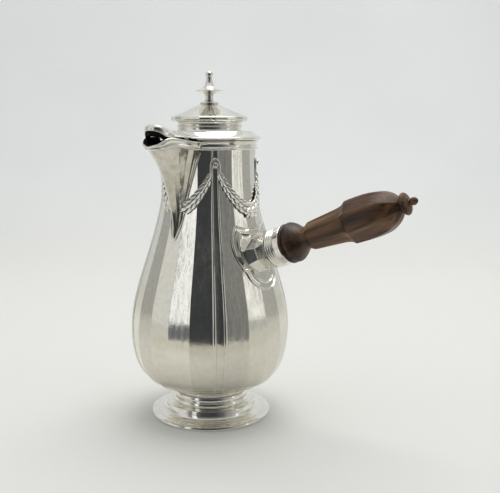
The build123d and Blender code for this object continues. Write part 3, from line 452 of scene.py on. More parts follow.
def faceted_ring(name, level, rib_rise):
    """Ring with the pot's section, flat facets between four reeded ribs, open in edit mode."""
    height, radius = level
    piece = start_piece(name, bpy.ops.mesh.primitive_circle_add,
                        vertices=RING_POINTS, radius=radius, location=(0, 0, height))
    choose(edit(piece), spare)
    bpy.ops.mesh.dissolve_verts()
    mesh = bmesh.from_edit_mesh(piece.data)
    for offset, rise in RIB_FORM:
        if rise:
            choose(mesh, lambda point: abs(from_rib(point) - offset) < SAME_BEARING)
            size = 1 + rise * rib_rise
            bpy.ops.transform.resize(value=(size, size, 1), center_override=(0, 0, height))
    select_whole()
    return piece


def draw_up(levels):
    """Draws the selected ring up through levels."""
    for (low, low_r), (high, high_r) in zip(levels, levels[1:]):
        draw_on(0, 0, high - low)
        size = high_r / low_r
        bpy.ops.transform.resize(value=(size, size, 1), center_override=(0, 0, high))


body = faceted_ring("body_raised", BODY_LEVELS[0], RIB_RISE)
draw_up(BODY_LEVELS)
choose(bmesh.from_edit_mesh(body.data), lambda point: point.co.z < BODY_LEVELS[0][0] + 1e-5)
bpy.ops.mesh.edge_face_add()
face_out(body)
give_wall(body, BODY_WALL, even=True)

# Pointed opening behind the spout, left closed below the belly of the beak.
OPENING_Y = -0.035
OPENING_FOOT = 0.15
OPENING_SIZE = (0.024, 0.016, 0.051)
OPENING_POINT = 0.3       # width of its foot, as a share of its top's
OPENING_MIDDLE = OPENING_FOOT + OPENING_SIZE[2] / 2
opening = start_piece("opening", bpy.ops.mesh.primitive_cube_add,
                      size=1.0, location=(0, OPENING_Y, OPENING_MIDDLE), scale=OPENING_SIZE)
choose(edit(opening), lambda point: point.co.z < OPENING_MIDDLE)
bpy.ops.transform.resize(value=(OPENING_POINT, 1, 1), center_override=(0, OPENING_Y, OPENING_FOOT))
bpy.ops.object.mode_set(mode="OBJECT")
cut_away(body, opening)


def placed(tree, place, change, by):
    """Coordinates turned or scaled for a pattern that has its own direction."""
    return add_node(tree, "Mapping", {"Vector": place, change: by}).outputs["Vector"]


def silver_surface_group():
    """Masks that the silver pieces share: marks of handling, slow waves and brushing."""
    group = bpy.data.node_groups.new("silver_surface", "ShaderNodeTree")
    for name in ("Dent Scale", "Brush Scale"):
        group.interface.new_socket(name, in_out="INPUT", socket_type="NodeSocketFloat")
    for name in ("Marks", "Waves", "Brushing"):
        group.interface.new_socket(name, in_out="OUTPUT", socket_type="NodeSocketFloat")
    taken = group.nodes.new("NodeGroupInput")
    given = group.nodes.new("NodeGroupOutput")
    place = coordinates(group)
    drawn = placed(group, place, "Scale", (1.0, 1.0, 0.03))
    feed(given, {
        "Marks": noise(group, place, taken.outputs["Dent Scale"], 5.0, 0.62),
        "Waves": noise(group, place, 34.0, 1.0),
        "Brushing": noise(group, drawn, taken.outputs["Brush Scale"], 3.0),
    })
    return group


silver_surface = silver_surface_group()


def bump(tree, height, distance, over=None, strength=1.0):
    """Raises the surface by a mask, on top of other bumps."""
    inputs = {"Strength": strength, "Distance": distance, "Height": height}
    if over is not None:
        inputs["Normal"] = over
    return add_node(tree, "Bump", inputs).outputs["Normal"]


def silver(name, pale, dull, rough, dents, wave_height, dent_scale=260.0, brush_scale=900.0, streaks=0.0):
    """Hand-polished sterling silver: two close tints, uneven polish, faint waves and dents."""
    made, tree, metal = new_material(name, {"Metallic": 1.0})
    surface = add_node(tree, "Group", {"Dent Scale": dent_scale, "Brush Scale": brush_scale},
                       node_tree=silver_surface)
    marks, waves, brushing = (surface.outputs[mask] for mask in ("Marks", "Waves", "Brushing"))
    relief = bump(tree, waves, wave_height)
    relief = bump(tree, brushing, streaks, relief)
    relief = bump(tree, marks, dents, relief)
    feed(metal, {
        "Base Color": ramp(tree, marks, ((0.35, dull), (0.62, pale))),
        "Roughness": remap(tree, brushing, (0.3, 0.7), rough),
        "Normal": relief,
    })
    return made


def colour_of(made):
    """A material's tree, its shader and the colour that the shader takes."""
    shader = made.node_tree.nodes["Principled BSDF"]
    return made.node_tree, shader, shader.inputs["Base Color"].links[0].from_socket


def shade_low_down(made, height, fade, tint):
    """Multiplies a silver's colour by a tint below a height: painted shade, for the shaded table that the
    low part mirrors.
    """
    tree, metal, colour = colour_of(made)
    low = remap(tree, part_of(tree, coordinates(tree), "Z"), (height + fade, height))
    feed(metal, {"Base Color": mixed(tree, low, colour, tint, "MULTIPLY")})


def vary_by_facet(made, least, most):
    """Each facet has been polished a little differently, so its tint differs a little."""
    tree, metal, colour = colour_of(made)
    place = coordinates(tree)
    bearing = maths(tree, "ARCTAN2", part_of(tree, place, "Y"), part_of(tree, place, "X"))
    # Facets counted from the end of the first rib, with two turns added to stay over 0.
    first = (720 - RIB_BEARING - RIB_HALF) / FACET
    count = maths(tree, "MULTIPLY_ADD", bearing, 1 / radians(FACET), first)
    in_quarter = maths(tree, "FLOORED_MODULO", count, 90 / FACET)
    quarter = maths(tree, "SUBTRACT", count, in_quarter)
    number = maths(tree, "MULTIPLY_ADD", quarter, 3.1, maths(tree, "FLOOR", in_quarter))
    chance = add_node(tree, "TexWhiteNoise", {"W": maths(tree, "ROUND", number)}, noise_dimensions="1D")
    amount = remap(tree, chance.outputs["Value"], (0.0, 1.0), (least, most))
    varied = add_node(tree, "VectorMath", {"Vector": colour, "Scale": amount}, operation="SCALE")
    feed(metal, {"Base Color": varied.outputs["Vector"]})


sheet_silver = silver(
    "sheet_silver", pale=(0.83, 0.815, 0.76), dull=(0.77, 0.75, 0.68), rough=(0.08, 0.19),
    dents=0.00005, wave_height=0.0004, brush_scale=420.0, streaks=0.00008)
vary_by_facet(sheet_silver, 0.88, 1.06)
# Painted shade: the body's silver is darker below 60 mm, where it mirrors the shaded table by the foot.
shade_low_down(sheet_silver, 0.060, 0.012, (0.93, 0.915, 0.87))


def finish_piece(piece, finish, body_name, slot_name, *nodes):
    """Gives a finished piece its material and body, and lets it stand for CAD nodes; the slot name is not
    used.
    """
    piece.data.materials.clear()
    piece.data.materials.append(finish)
    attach(piece, body_name)
    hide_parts(*nodes)


settle_normals(body)
finish_piece(body, sheet_silver, "pot", "silver", "body_shell")

# ======================================================================================
# Foot
# Spun foot in three soldered pieces: a heavy ring that stands on the table, the stepped
# foot with two round beads on its stem, and the flared collar under the body.
# ======================================================================================
FINE_TURNING = 128        # steps round the wide turned pieces


def arc_points(start, middle, end, steps=6):
    """Points on the round through three points, both ends included."""
    (ax, ay), (bx, by), (cx, cy) = start, middle, end
    a, b, c = ax * ax + ay * ay, bx * bx + by * by, cx * cx + cy * cy
    d = 2 * (ax * (by - cy) + bx * (cy - ay) + cx * (ay - by))
    x = (a * (by - cy) + b * (cy - ay) + c * (ay - by)) / d
    y = (a * (cx - bx) + b * (ax - cx) + c * (bx - ax)) / d
    radius = hypot(ax - x, ay - y)
    first, mid, last = (atan2(py - y, px - x) for px, py in (start, middle, end))
    sweep = (last - first) % (2 * pi)
    if (mid - first) % (2 * pi) > sweep:
        sweep -= 2 * pi
    angles = [first + sweep * step / steps for step in range(steps + 1)]
    return [(x + radius * cos(angle), y + radius * sin(angle)) for angle in angles]


def lifted(outline, height):
    """An outline moved up to its height."""
    return [(radius, z + height) for radius, z in outline]


def drawn_section(name, outline):
    """Closed outline in millimetres, drawn out from one point beside the axis, open in edit mode."""
    places = [outline[0]]
    for place in outline[1:]:
        if hypot(place[0] - places[-1][0], place[1] - places[-1][1]) > 1e-4:
            places.append(place)
    piece = start_piece(name, bpy.ops.mesh.primitive_plane_add,
                        size=0.0002, location=(places[0][0] / 1000, 0, places[0][1] / 1000))
    edit(piece)
    select_whole()
    bpy.ops.mesh.merge(type="CENTER")
    for (r, z), (next_r, next_z) in zip(places, places[1:] + places[:1]):
        draw_on((next_r - r) / 1000, 0, (next_z - z) / 1000)
    select_whole()
    bpy.ops.mesh.remove_doubles(threshold=1e-7)
    select_whole()
    return piece


def turn_piece(name, outline, steps=96, sharp=35.0):
    """Turned piece: an outline spun about the pot's axis."""
    piece = drawn_section(name, outline)
    bpy.ops.mesh.spin(steps=steps, angle=2 * pi, center=(0, 0, 0), axis=(0, 0, 1))
    face_out(piece, merge=1e-6)
    smooth_over(piece, sharp)
    return piece


spun_silver = silver(
    "spun_silver", pale=(0.85, 0.835, 0.785), dull=(0.78, 0.76, 0.70), rough=(0.07, 0.15),
    dents=0.00002, wave_height=0.00012, dent_scale=320.0, brush_scale=700.0)

foot_ring = turn_piece("foot_ring_turned", [
    (38.2, 0.0), (43.0, 0.0), (43.4, 0.3), (43.5, 0.8), (43.5, 1.5), (43.1, 2.3), (42.1, 2.7), (38.2, 2.7),
], FINE_TURNING)
finish_piece(foot_ring, spun_silver, "pot", "silver", "foot_ring")

foot = turn_piece("foot_spun", [
    (38.17, 0.8), (38.17, 2.85),
    *arc_points((37.9, 3.0), (34.7, 3.45), (32.5, 4.7)),
    (32.3, 5.1), (31.9, 5.9), (31.7, 6.3), (31.6, 8.9),
    *arc_points((31.4, 9.3), (28.0, 9.9), (26.5, 10.9)),
    # The two beads on the stem.
    (27.3, 11.0), (27.7, 11.3), (27.8, 11.7), (27.65, 12.3), (27.25, 13.5), (26.9, 13.75), (26.1, 13.9),
    (25.95, 14.2), (26.05, 14.6),
    (26.8, 14.8), (27.1, 15.1), (27.15, 15.5), (27.0, 16.1), (26.6, 17.4), (26.0, 17.8),
    # Back down inside.
    (24.3, 18.25), (24.3, 9.0), (30.6, 8.1), (31.2, 4.1), (37.1, 1.7), (37.1, 0.8),
], FINE_TURNING)
finish_piece(foot, spun_silver, "pot", "silver", "foot")

foot_collar = turn_piece("foot_collar_turned", [
    *arc_points((26.3, 18.28), (26.8, 20.2), (29.4, 22.2), 7), (30.5, 22.3),
    *arc_points((30.7, 22.3), (31.05, 22.8), (31.0, 23.3), 4),
    (30.9, 23.9), (29.2, 23.9), (24.4, 18.28),
], FINE_TURNING)
finish_piece(foot_collar, spun_silver, "pot", "silver", "foot_collar")

# ======================================================================================
# Lid
# Spun flange and neck, a faceted and ribbed cone with a rolled edge, a ring below that
# drops into the body's neck, and a short tube at the top for the finial's plug.
# ======================================================================================
LID_FOOT = 198.25
LID_STEP = 203.85         # top of the flange, where the neck starts
CONE_WALL = 0.0011
CONE_RIB_RISE = 0.012
NOTCH_SIZE = (0.0151, 0.0201, 0.02)
# Height and radius over the cone's corners, from the rolled edge to the top.
CONE_OUTLINE = (
    (210.28, 23.2), (210.35, 24.3), (210.7, 25.2), (211.3, 25.85), (212.1, 26.2), (212.9, 26.2),
    (213.7, 25.7), (214.4, 24.3), (215.7, 21.0), (217.6, 16.4), (219.5, 12.2), (221.1, 8.8), (222.15, 6.6),
)

lid_flange = turn_piece("lid_flange_spun", lifted([
    (30.07, 0.0), (35.2, 0.0),
    *arc_points((35.2, 0.0), (36.0, 0.9), (35.2, 1.8), 8),
    *arc_points((35.1, 2.0), (32.9, 3.3), (31.1, 4.7), 8),
    (30.7, 4.9), (30.4, 5.3), (30.1, 5.6), (21.3, 5.6), (21.3, 4.5), (30.07, 4.5),
], LID_FOOT), FINE_TURNING)
# Notch at the back for the hinge's knuckles.
notch = start_piece("notch", bpy.ops.mesh.primitive_cube_add,
                    size=1.0, location=(0, 0.045, LID_FOOT / 1000), scale=NOTCH_SIZE)
cut_away(lid_flange, notch)
smooth_over(lid_flange, 35)
finish_piece(lid_flange, spun_silver, "lid", "silver", "lid_flange")

lid_neck = turn_piece("lid_neck_spun", lifted([
    *arc_points((23.1, 0.03), (22.5, 0.9), (22.4, 2.9), 5),
    *arc_points((22.4, 3.0), (23.0, 3.5), (22.4, 4.0)),
    *arc_points((22.4, 4.1), (22.6, 5.6), (23.2, 6.4), 5), (21.3, 6.4), (21.3, 0.03),
], LID_STEP), FINE_TURNING)
finish_piece(lid_neck, spun_silver, "lid", "silver", "lid_neck")

lid_bezel = turn_piece("lid_bezel_ring", [
    (29.14, 192.4), (29.9, 192.4), (30.04, 192.6), (30.04, 202.7), (29.14, 202.7),
], FINE_TURNING)
finish_piece(lid_bezel, spun_silver, "lid", "silver", "lid_bezel")

bush = turn_piece("finial_bush_tube", [
    (4.06, 216.2), (5.0, 216.2), (5.16, 216.4), (5.16, 222.1), (5.1, 222.15), (4.2, 222.15), (4.06, 222.0),
], 48)
finish_piece(bush, spun_silver, "lid", "silver", "finial_bush")

cone_levels = levels_through(CONE_OUTLINE, 4)
lid_cone = faceted_ring("lid_cone_raised", cone_levels[0], CONE_RIB_RISE)
draw_up(cone_levels)
face_out(lid_cone)
give_wall(lid_cone, CONE_WALL)
settle_normals(lid_cone)
finish_piece(lid_cone, sheet_silver, "lid", "silver", "lid_dome")

# ======================================================================================
# Finial
# Turned in the round: a flat base, a waisted stem, a thin disc and a tall neck with a ball
# on top. Its plug stands in the lid's tube, and it lifts out for the stirring rod.
# ======================================================================================
FINIAL_FOOT = 222.5

finial = turn_piece("finial_turned", lifted([
    (0.0, -6.5), (3.7, -6.5), (4.0, -6.2), (4.0, 0.0), *arc_points((6.4, 0.0), (6.75, 0.6), (6.3, 1.2)),
    *smooth_points((
        (5.0, 1.45), (3.8, 1.9), (2.95, 3.2), (2.75, 4.6), (3.2, 5.9), (4.4, 6.9), (6.6, 7.9),
        (9.2, 8.65)), 4),
    *arc_points((9.35, 8.72), (9.6, 9.0), (9.35, 9.28), 4),
    *smooth_points((
        (9.2, 9.36), (6.9, 9.95), (5.0, 10.8), (3.7, 12.1), (2.75, 14.0), (2.2, 16.0), (2.05, 17.4),
        (2.15, 18.4), (2.45, 19.2), (2.6, 20.0), (2.45, 21.0), (1.9, 21.8), (1.0, 22.3), (0.0, 22.5)), 4),
], FINIAL_FOOT), 64, 40)
finish_piece(finial, spun_silver, "finial", "silver", "finial")

# ======================================================================================
# Spout
# Faceted beak raised from sheet and soldered over a pointed opening in the body, with a
# thin raised border round its root on the body.
# ======================================================================================
# Height, half width where it meets the body, and the keel's reach from the pot's axis.
BEAK_LEVELS = (
    (132.6, 1.0, 39.3), (140.0, 3.4, 39.2), (150.0, 5.2, 40.6), (161.0, 6.4, 43.8), (172.0, 8.8, 47.6),
    (182.0, 11.4, 52.4), (190.0, 13.8, 58.6), (196.0, 15.2, 63.5), (207.0, 17.0, 69.0),
)
BEAK_FOOT = BEAK_LEVELS[0][0]
BEAK_ROWS = 52
# Across one side of the beak, from the body to the keel: share of the way and outward bulge.
BEAK_SIDE = ((0.0, 0.0), (0.27, 0.08), (0.62, 0.075), (1.0, 0.0))
# Lines up one side, from the body to the keel: share of the way, bulge as a share of the half
# width, and what each changes by where the second ridge parts, with a flute between.
BEAK_LINES = (
    (0.0, 0.0, 0.0, 0.0), (0.11, -0.01, 0.0, 0.0),              # root and first hollow
    (0.2, 0.075, 0.0, 0.0), (0.37, 0.03, -0.06, 0.0),           # first ridge and hollow
    (0.6, 0.11, -0.19, -0.006), (0.605, 0.11, -0.095, -0.07),   # second ridge, and the flute in it
    (0.61, 0.11, 0.0, 0.0), (0.8, 0.005, 0.0, 0.0),             # its other half, and a hollow
    (0.98, 0.0, 0.0, 0.0), (2.0, 0.0, 0.0, 0.0),                # edge of the nose, and the keel
)
FLUTE_START, FLUTE_OPEN = 181.0, 192.0    # heights
FLUTE_MOST = 1.3          # share up to which it goes on opening above them
NOSE_SHARE = 0.37
NOSE_SLOPE = 30.0
SOLDER_DEPTH = 0.4        # how far the beak's edges reach into the body's skin
# Upper edge of the lip: reach from the axis, height, depth of the lip below it.
LIP_EDGE = (
    (24.0, 197.8, 6.2), (33.0, 197.6, 6.1), (39.5, 198.3, 5.8), (44.0, 199.1, 5.8), (50.0, 200.3, 6.5),
    (54.0, 200.2, 7.0), (57.5, 198.3, 6.2), (61.0, 195.6, 3.8), (65.0, 192.6, 1.8),
)
EDGE_BETWEEN = (150.0, 207.0)    # heights between which the beak meets that edge
EDGE_COVER = 0.5          # how far below that edge the beak's own sheet ends
FLAT_SHARE = cos(radians(FACET / 2))    # a facet's middle is this much nearer than its corners

beak_run = smooth_points(BEAK_LEVELS, 8)
edge_run = smooth_points(LIP_EDGE, 8)


def along(run, value):
    """Place on a run of points where its first coordinate has this value."""
    for low, high in zip(run, run[1:]):
        if low.x <= value <= high.x:
            return low.lerp(high, (value - low.x) / (high.x - low.x))
    return run[0] if value < run[0].x else run[-1]


def halve(low, high, turns, short):
    """Place between two ends up to which a test holds, found by halving."""
    for _ in range(turns):
        middle = (low + high) / 2
        if short(middle):
            low = middle
        else:
            high = middle
    return low


def plain_bulge(share):
    """Outward bulge of the beak's side before its ridges are raised."""
    for (low, low_bulge), (high, high_bulge) in zip(BEAK_SIDE, BEAK_SIDE[1:]):
        if low <= share <= high:
            return low_bulge + (high_bulge - low_bulge) * (share - low) / (high - low)


def beak_place(share, height, out=0.0):
    """Sideways and forward place on the beak's skin; share runs from the body, 0, to the keel, 2."""
    _, half, keel = along(beak_run, height)
    seat = sqrt((body_radius(min(height, BODY_TOP)) * FLAT_SHARE) ** 2 - half ** 2) - SOLDER_DEPTH
    slope = radians(NOSE_SLOPE)
    nose = NOSE_SHARE * half
    nose_reach = keel - nose * tan(slope)
    if share >= 1:
        past = share - 1
        across = (nose + out * sin(slope)) * (1 - past)
        return across, nose_reach + (keel - nose_reach) * past + out * cos(slope)
    run = hypot(half - nose, nose_reach - seat)
    across = half + share * (nose - half) + plain_bulge(share) * half + out * (nose_reach - seat) / run
    return across, seat + share * (nose_reach - seat) + out * (half - nose) / run


def edge_height(share, drop=0.0):
    """Height at which this line up the beak meets the lip's upper edge."""
    return halve(*EDGE_BETWEEN, 30, lambda height: (
        height < along(edge_run, beak_place(share, height)[1]).y - drop))


def shaped_sheet(name, columns, rows, place):
    """Sheet of columns by rows squares, each of its points drawn to a place in millimetres."""
    piece = start_piece(name, bpy.ops.mesh.primitive_grid_add,
                        x_subdivisions=columns, y_subdivisions=rows, size=0.01)
    mesh = edit(piece)
    mesh.verts.ensure_lookup_table()
    for point in mesh.verts:
        row, column = divmod(point.index, columns + 1)
        point.co = Vector(place(column, row)) / 1000
    bmesh.update_edit_mesh(piece.data)
    return piece


last_line = len(BEAK_LINES) - 1
beak_columns = [(-1, line) for line in range(last_line)] + [(1, line) for line in range(last_line, -1, -1)]


def beak_point(column, row):
    """Place on the beak's ridges and hollows, from its foot up to just under the lip's edge."""
    side, line = beak_columns[column]
    share, bulge, share_change, bulge_change = BEAK_LINES[line]
    height = BEAK_FOOT + (edge_height(share, EDGE_COVER) - BEAK_FOOT) * row / BEAK_ROWS
    opened = min(max((height - FLUTE_START) / (FLUTE_OPEN - FLUTE_START), 0.0), FLUTE_MOST)
    share += share_change * opened
    bulge += bulge_change * opened
    across, reach = beak_place(share, height)
    if share < 1:
        across += (bulge - plain_bulge(share)) * along(beak_run, height).y
    return side * across, -reach, height


def soften(piece, width, angle=20.0):
    """Takes the sharpness off a piece's corners."""
    edges = piece.modifiers.new("worn_edges", "BEVEL")
    edges.limit_method = "ANGLE"
    edges.angle_limit = radians(angle)
    edges.width = width
    edges.segments = 2
    apply_all(piece)


# Painted shade: a darker copy of the body's silver for the beak, for the darker tones its sides mirror.
shaded_beak_silver = silver(
    "shaded_beak_silver", pale=(0.72, 0.69, 0.62), dull=(0.57, 0.54, 0.47), rough=(0.08, 0.18),
    dents=0.00003, wave_height=0.0001)

# Inside of the spout: painted shade, dull silver almost black and mottled a little, where the mouth lies in
# shade.
shade_black_silver, tree, metal = new_material(
    "shade_black_silver", {"Metallic": 0.6, "Roughness": 0.7, "Specular IOR Level": 0.1})
shade_mottle = noise(tree, coordinates(tree), 180.0, 4.0)
shade_blacks = ((0.0, (0.004, 0.004, 0.004)), (1.0, (0.018, 0.017, 0.015)))
feed(metal, {"Base Color": ramp(tree, shade_mottle, shade_blacks)})

beak = shaped_sheet("beak_raised", len(beak_columns) - 1, BEAK_ROWS, beak_point)
face_out(beak, merge=0.00004, towards=(0, -1, 0))
beak.data.materials.append(shaded_beak_silver)
# The beak's inside takes the painted shade of the mouth.
beak.data.materials.append(shade_black_silver)
soften(beak, 0.0003, 9)
give_wall(beak, 0.001, inner=1)
settle_normals(beak, 40)
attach(beak, "pot")
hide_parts("spout")


def skin(angle, height, lift=0.0):
    """Point on the faceted body, in millimetres, lifted off it by a little."""
    radius = body_radius(height)
    past = past_rib(angle)
    if RIB_HALF < past < 90 - RIB_HALF:
        radius *= FLAT_SHARE / cos(radians((past - RIB_HALF) % FACET - FACET / 2))
    tilt = atan2(body_radius(height - 0.5) - body_radius(height + 0.5), 1.0)
    radius += lift * cos(tilt)
    return Vector((radius * cos(radians(angle)), radius * sin(radians(angle)), height + lift * sin(tilt)))


def wire(name, points, thickness):
    """Round wire bent through points in millimetres, as a mesh."""
    data = bpy.data.curves.new(name, "CURVE")
    data.dimensions = "3D"
    line = data.splines.new("POLY")
    line.points.add(len(points) - 1)
    for spot, point in zip(line.points, points):
        spot.co = (*(Vector(point) / 1000), 1)
    data.bevel_depth = thickness / 2000
    data.bevel_resolution = 3
    data.use_fill_caps = True
    piece = bpy.data.objects.new(name, data)
    scene.collection.objects.link(piece)
    work_on(piece)
    bpy.ops.object.convert(target="MESH")
    smooth_over(piece, 60)
    return piece


BORDER_OUT = 0.75         # from the beak's edge
BORDER_LIFT = 0.15
BORDER_WIRE = 1.0
BORDER_TOP = 191.0
# The border's point: its drop below the beak's foot, and the half width of its blunt end as a
# share of that drop, with the rise to it.
POINT_DROP, POINT_SHARE, POINT_RISE = 1.0, 0.45, 0.35
ROOT_R = 38.8             # of the body, at the beak's point


def root_line():
    """The beak's pointed root on the body, from the rim down round the point and up again."""
    low = BEAK_FOOT - POINT_DROP - BORDER_OUT
    corner = POINT_SHARE * (POINT_DROP + BORDER_OUT)
    half = [(low, 0.0), (low + POINT_RISE, degrees(atan2(corner, ROOT_R)))]
    for height, across, _ in smooth_points(BEAK_LEVELS[:-1], 6):
        if height <= BORDER_TOP:
            across += BORDER_OUT
            radius = body_radius(height) * FLAT_SHARE
            half.append((height, degrees(atan2(across, sqrt(radius ** 2 - across ** 2)))))
    return ([skin(-90 - angle, height, BORDER_LIFT) for height, angle in reversed(half[1:])]
            + [skin(-90 + angle, height, BORDER_LIFT) for height, angle in half])


root_border = wire("root_border", root_line(), BORDER_WIRE)
finish_piece(root_border, spun_silver, "pot", "silver", "spout_border")

# ======================================================================================
# Rim and lip
# Moulded wire with a bead at each edge, soldered round the rim and carried on along the
# beak's edge as its lip.
# ======================================================================================
BAND_START, BAND_SWEEP, BAND_STEPS = -54, 288, 104    # bearing and sweep in degrees
BEAD_R, BEAD_HALF, BEAD_RISE = 33.3, 0.8, 0.9


def bead_points(height):
    """Round bead at an edge of the rim's band."""
    return arc_points(
        (BEAD_R, height - BEAD_HALF), (BEAD_R + BEAD_RISE, height), (BEAD_R, height + BEAD_HALF), 8)


rim_band = drawn_section("rim_band", [
    (31.95, 191.6), *bead_points(192.4), *arc_points((33.25, 193.3), (32.9, 194.75), (33.25, 196.2)),
    *bead_points(197.1), (31.95, BODY_TOP),
])
bpy.ops.mesh.edge_face_add()
select_whole()
bpy.ops.mesh.spin(
    steps=BAND_STEPS, angle=-radians(BAND_SWEEP), center=(0, 0, 0), axis=(0, 0, 1), use_auto_merge=False)
face_out(rim_band)
rim_band.rotation_euler = (0, 0, radians(BAND_START))
set_place(rim_band)
smooth_over(rim_band, 35)
finish_piece(rim_band, spun_silver, "pot", "silver", "rim_band")

# Lip: outward offset and height, from the inner top edge over the outside to the foot.
# Heights from 0 up count down from the upper edge, and under 0 up from the lower edge.
LIP_PROFILE = (
    (-0.5, 0.9), (-0.35, 0.25), (0.1, 0.0), (0.8, 0.0), (1.35, 0.15), (1.75, 0.5), (1.8, 0.85), (1.6, 1.2),
    (1.15, 1.5), (0.85, 1.9), (0.6, 3.0), (0.6, -3.0), (0.85, -1.9), (1.1, -1.5), (1.6, -1.2), (1.75, -0.8),
    (1.65, -0.4), (1.2, -0.1), (0.1, -0.02),
)
# Bearings from the spout's middle along the rim, then shares of the way round the beak.
LIP_ON_RIM = (36, 34, 32, 30.5, 29)
LIP_ON_BEAK = (
    0.03, 0.09, 0.16, 0.24, 0.32, 0.42, 0.52, 0.62, 0.72, 0.82, 0.9, 0.96, 1.02, 1.12, 1.3, 1.55, 1.8, 2.0)
RIM_R = 31.9
RIM_STEP = 0.5            # the lip stands this much further out where it overlaps the rim's band
lip_stations = [("rim", angle) for angle in LIP_ON_RIM] + [("beak", share) for share in LIP_ON_BEAK]
lip_line = [(-1, *station) for station in lip_stations]
lip_line += [(1, *station) for station in lip_stations[-2::-1]]


def lip_point(column, row):
    side, kind, value = lip_line[column]
    out, fall = LIP_PROFILE[row]
    if kind == "rim":
        bearing = radians(value)
        _, top, depth = along(edge_run, RIM_R * cos(bearing))
        radius = RIM_R + out + RIM_STEP * (out > 0)
        across, reach = radius * sin(bearing), radius * cos(bearing)
    else:
        top = edge_height(value)
        depth = along(edge_run, beak_place(value, top)[1]).z
    height = top - fall if fall >= 0 else top - depth - fall
    if kind == "beak":
        across, reach = beak_place(value, height, out)
    return side * across, -reach, height


def in_mouth_shade(face):
    """Whether a face of the lip looks into the mouth, where it takes the painted shade."""
    row, column = divmod(face.index, len(lip_line) - 1)
    side, kind, share = lip_line[column]
    inside = kind == "beak" and share > 0.1
    far_edge = row in (3, 4) and side < 0 and share < 0.95
    return row < 2 or (inside and (row == 2 or far_edge))


lip = shaped_sheet("lip_moulding", len(lip_line) - 1, len(LIP_PROFILE) - 1, lip_point)
face_out(lip)
lip.data.materials.append(spun_silver)
lip.data.materials.append(shade_black_silver)
# Faces that look into the mouth take the painted shade.
for face in lip.data.polygons:
    face.material_index = int(in_mouth_shade(face))
rounding = lip.modifiers.new("rounding", "SUBSURF")
rounding.levels = rounding.render_levels = 1
apply_all(lip)
smooth_over(lip, 50)
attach(lip, "pot")
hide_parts("spout_lip")

# ======================================================================================
# Roof of the spout
# Arched sheet over the beak, from the lid's edge to a rounded front over the mouth.
# ======================================================================================
# Reach from the axis, height at the sides and at the crown.
ROOF_LINE = (
    (36.0, 199.8, 202.6), (43.0, 200.4, 204.6), (49.0, 200.6, 206.1), (53.8, 200.6, 207.3),
    (57.0, 202.6, 208.3), (59.0, 204.0, 208.4), (60.6, 204.8, 207.6), (61.3, 205.0, 206.5),
    (61.6, 205.0, 205.4),
)
ROOF_BACK, ROOF_CORNER, ROOF_TIP = 36.5, 53.8, 61.6
ROOF_COLUMNS, ROOF_ROWS = 24, 36
ROOF_WALL = 0.0011
ROOF_INSET = 0.985        # of the half width, so that it stands inside the lip
ROOF_SHORT = 0.02         # of the tip, where the sheet has no width left
ARCH_FROM, ARCH_TO = 40.0, 56.0        # reach over which the arch grows fuller
ARCH_BACK, ARCH_FRONT = 2.0, 3.6       # power of its form before that and after
LET_IN_HEIGHT = 200.0     # where the beak's width gives the roof's
roof_run = smooth_points(ROOF_LINE, 5)


def beak_half_at(reach):
    """Half width of the beak at the roof's height, this far out."""
    share = halve(0.0, 1.0, 24, lambda share: beak_place(share, LET_IN_HEIGHT)[1] < reach)
    return beak_place(share, LET_IN_HEIGHT)[0]


front_depth = ROOF_TIP - ROOF_CORNER
front_r = (beak_half_at(ROOF_CORNER) ** 2 + front_depth ** 2) / (2 * front_depth)


def roof_half(reach):
    """Half width of the roof, this far out: the beak's, then round the front."""
    if reach <= ROOF_CORNER:
        return beak_half_at(reach)
    return sqrt(max(front_r ** 2 - (reach - ROOF_TIP + front_r) ** 2, 0.0))


def roof_height(spread, reach):
    """Height at a share of the half width; the arch grows fuller towards the mouth."""
    _, side_z, crown_z = along(roof_run, reach)
    grown = min(max((reach - ARCH_FROM) / (ARCH_TO - ARCH_FROM), 0.0), 1.0)
    full = ARCH_BACK + (ARCH_FRONT - ARCH_BACK) * grown
    return side_z + (crown_z - side_z) * (1 - min(abs(spread), 1.0) ** full) ** (1 / full)


def roof_point(column, row):
    """Place on the roof; rows and columns close up towards its edges."""
    reach = ROOF_BACK + (ROOF_TIP - ROOF_SHORT - ROOF_BACK) * sin(pi / 2 * row / ROOF_ROWS)
    spread = sin(pi / 2 * (2 * column / ROOF_COLUMNS - 1))
    return spread * roof_half(reach) * ROOF_INSET, -reach, roof_height(spread, reach)


roof = shaped_sheet("spout_roof_raised", ROOF_COLUMNS, ROOF_ROWS, roof_point)
face_out(roof, towards=(0, 0, 1))
roof.data.materials.append(sheet_silver)
# The roof's underside takes the painted shade of the mouth.
roof.data.materials.append(shade_black_silver)
give_wall(roof, ROOF_WALL, inner=1)
smooth_over(roof, 60)

# Rounded rim over the mouth, from one corner round the front to the other.
RIM_STEPS = 24            # to each side
RIM_BACK = ROOF_CORNER - 2.0
RIM_FRONT = ROOF_TIP - 0.55
RIM_IN = 0.45             # from the roof's edge
RIM_LIFT = 0.1
RIM_WIRE = 1.5
rim_points = []
for step in range(-RIM_STEPS, RIM_STEPS + 1):
    reach = RIM_BACK + (RIM_FRONT - RIM_BACK) * cos(pi / 2 * step / RIM_STEPS)
    half = max(roof_half(reach + 0.5) - RIM_IN, 0.0)
    rim_points.append((half * (1 if step > 0 else -1), -reach, along(roof_run, reach + 0.5).y + RIM_LIFT))
mouth_rim = wire("mouth_rim", rim_points, RIM_WIRE)

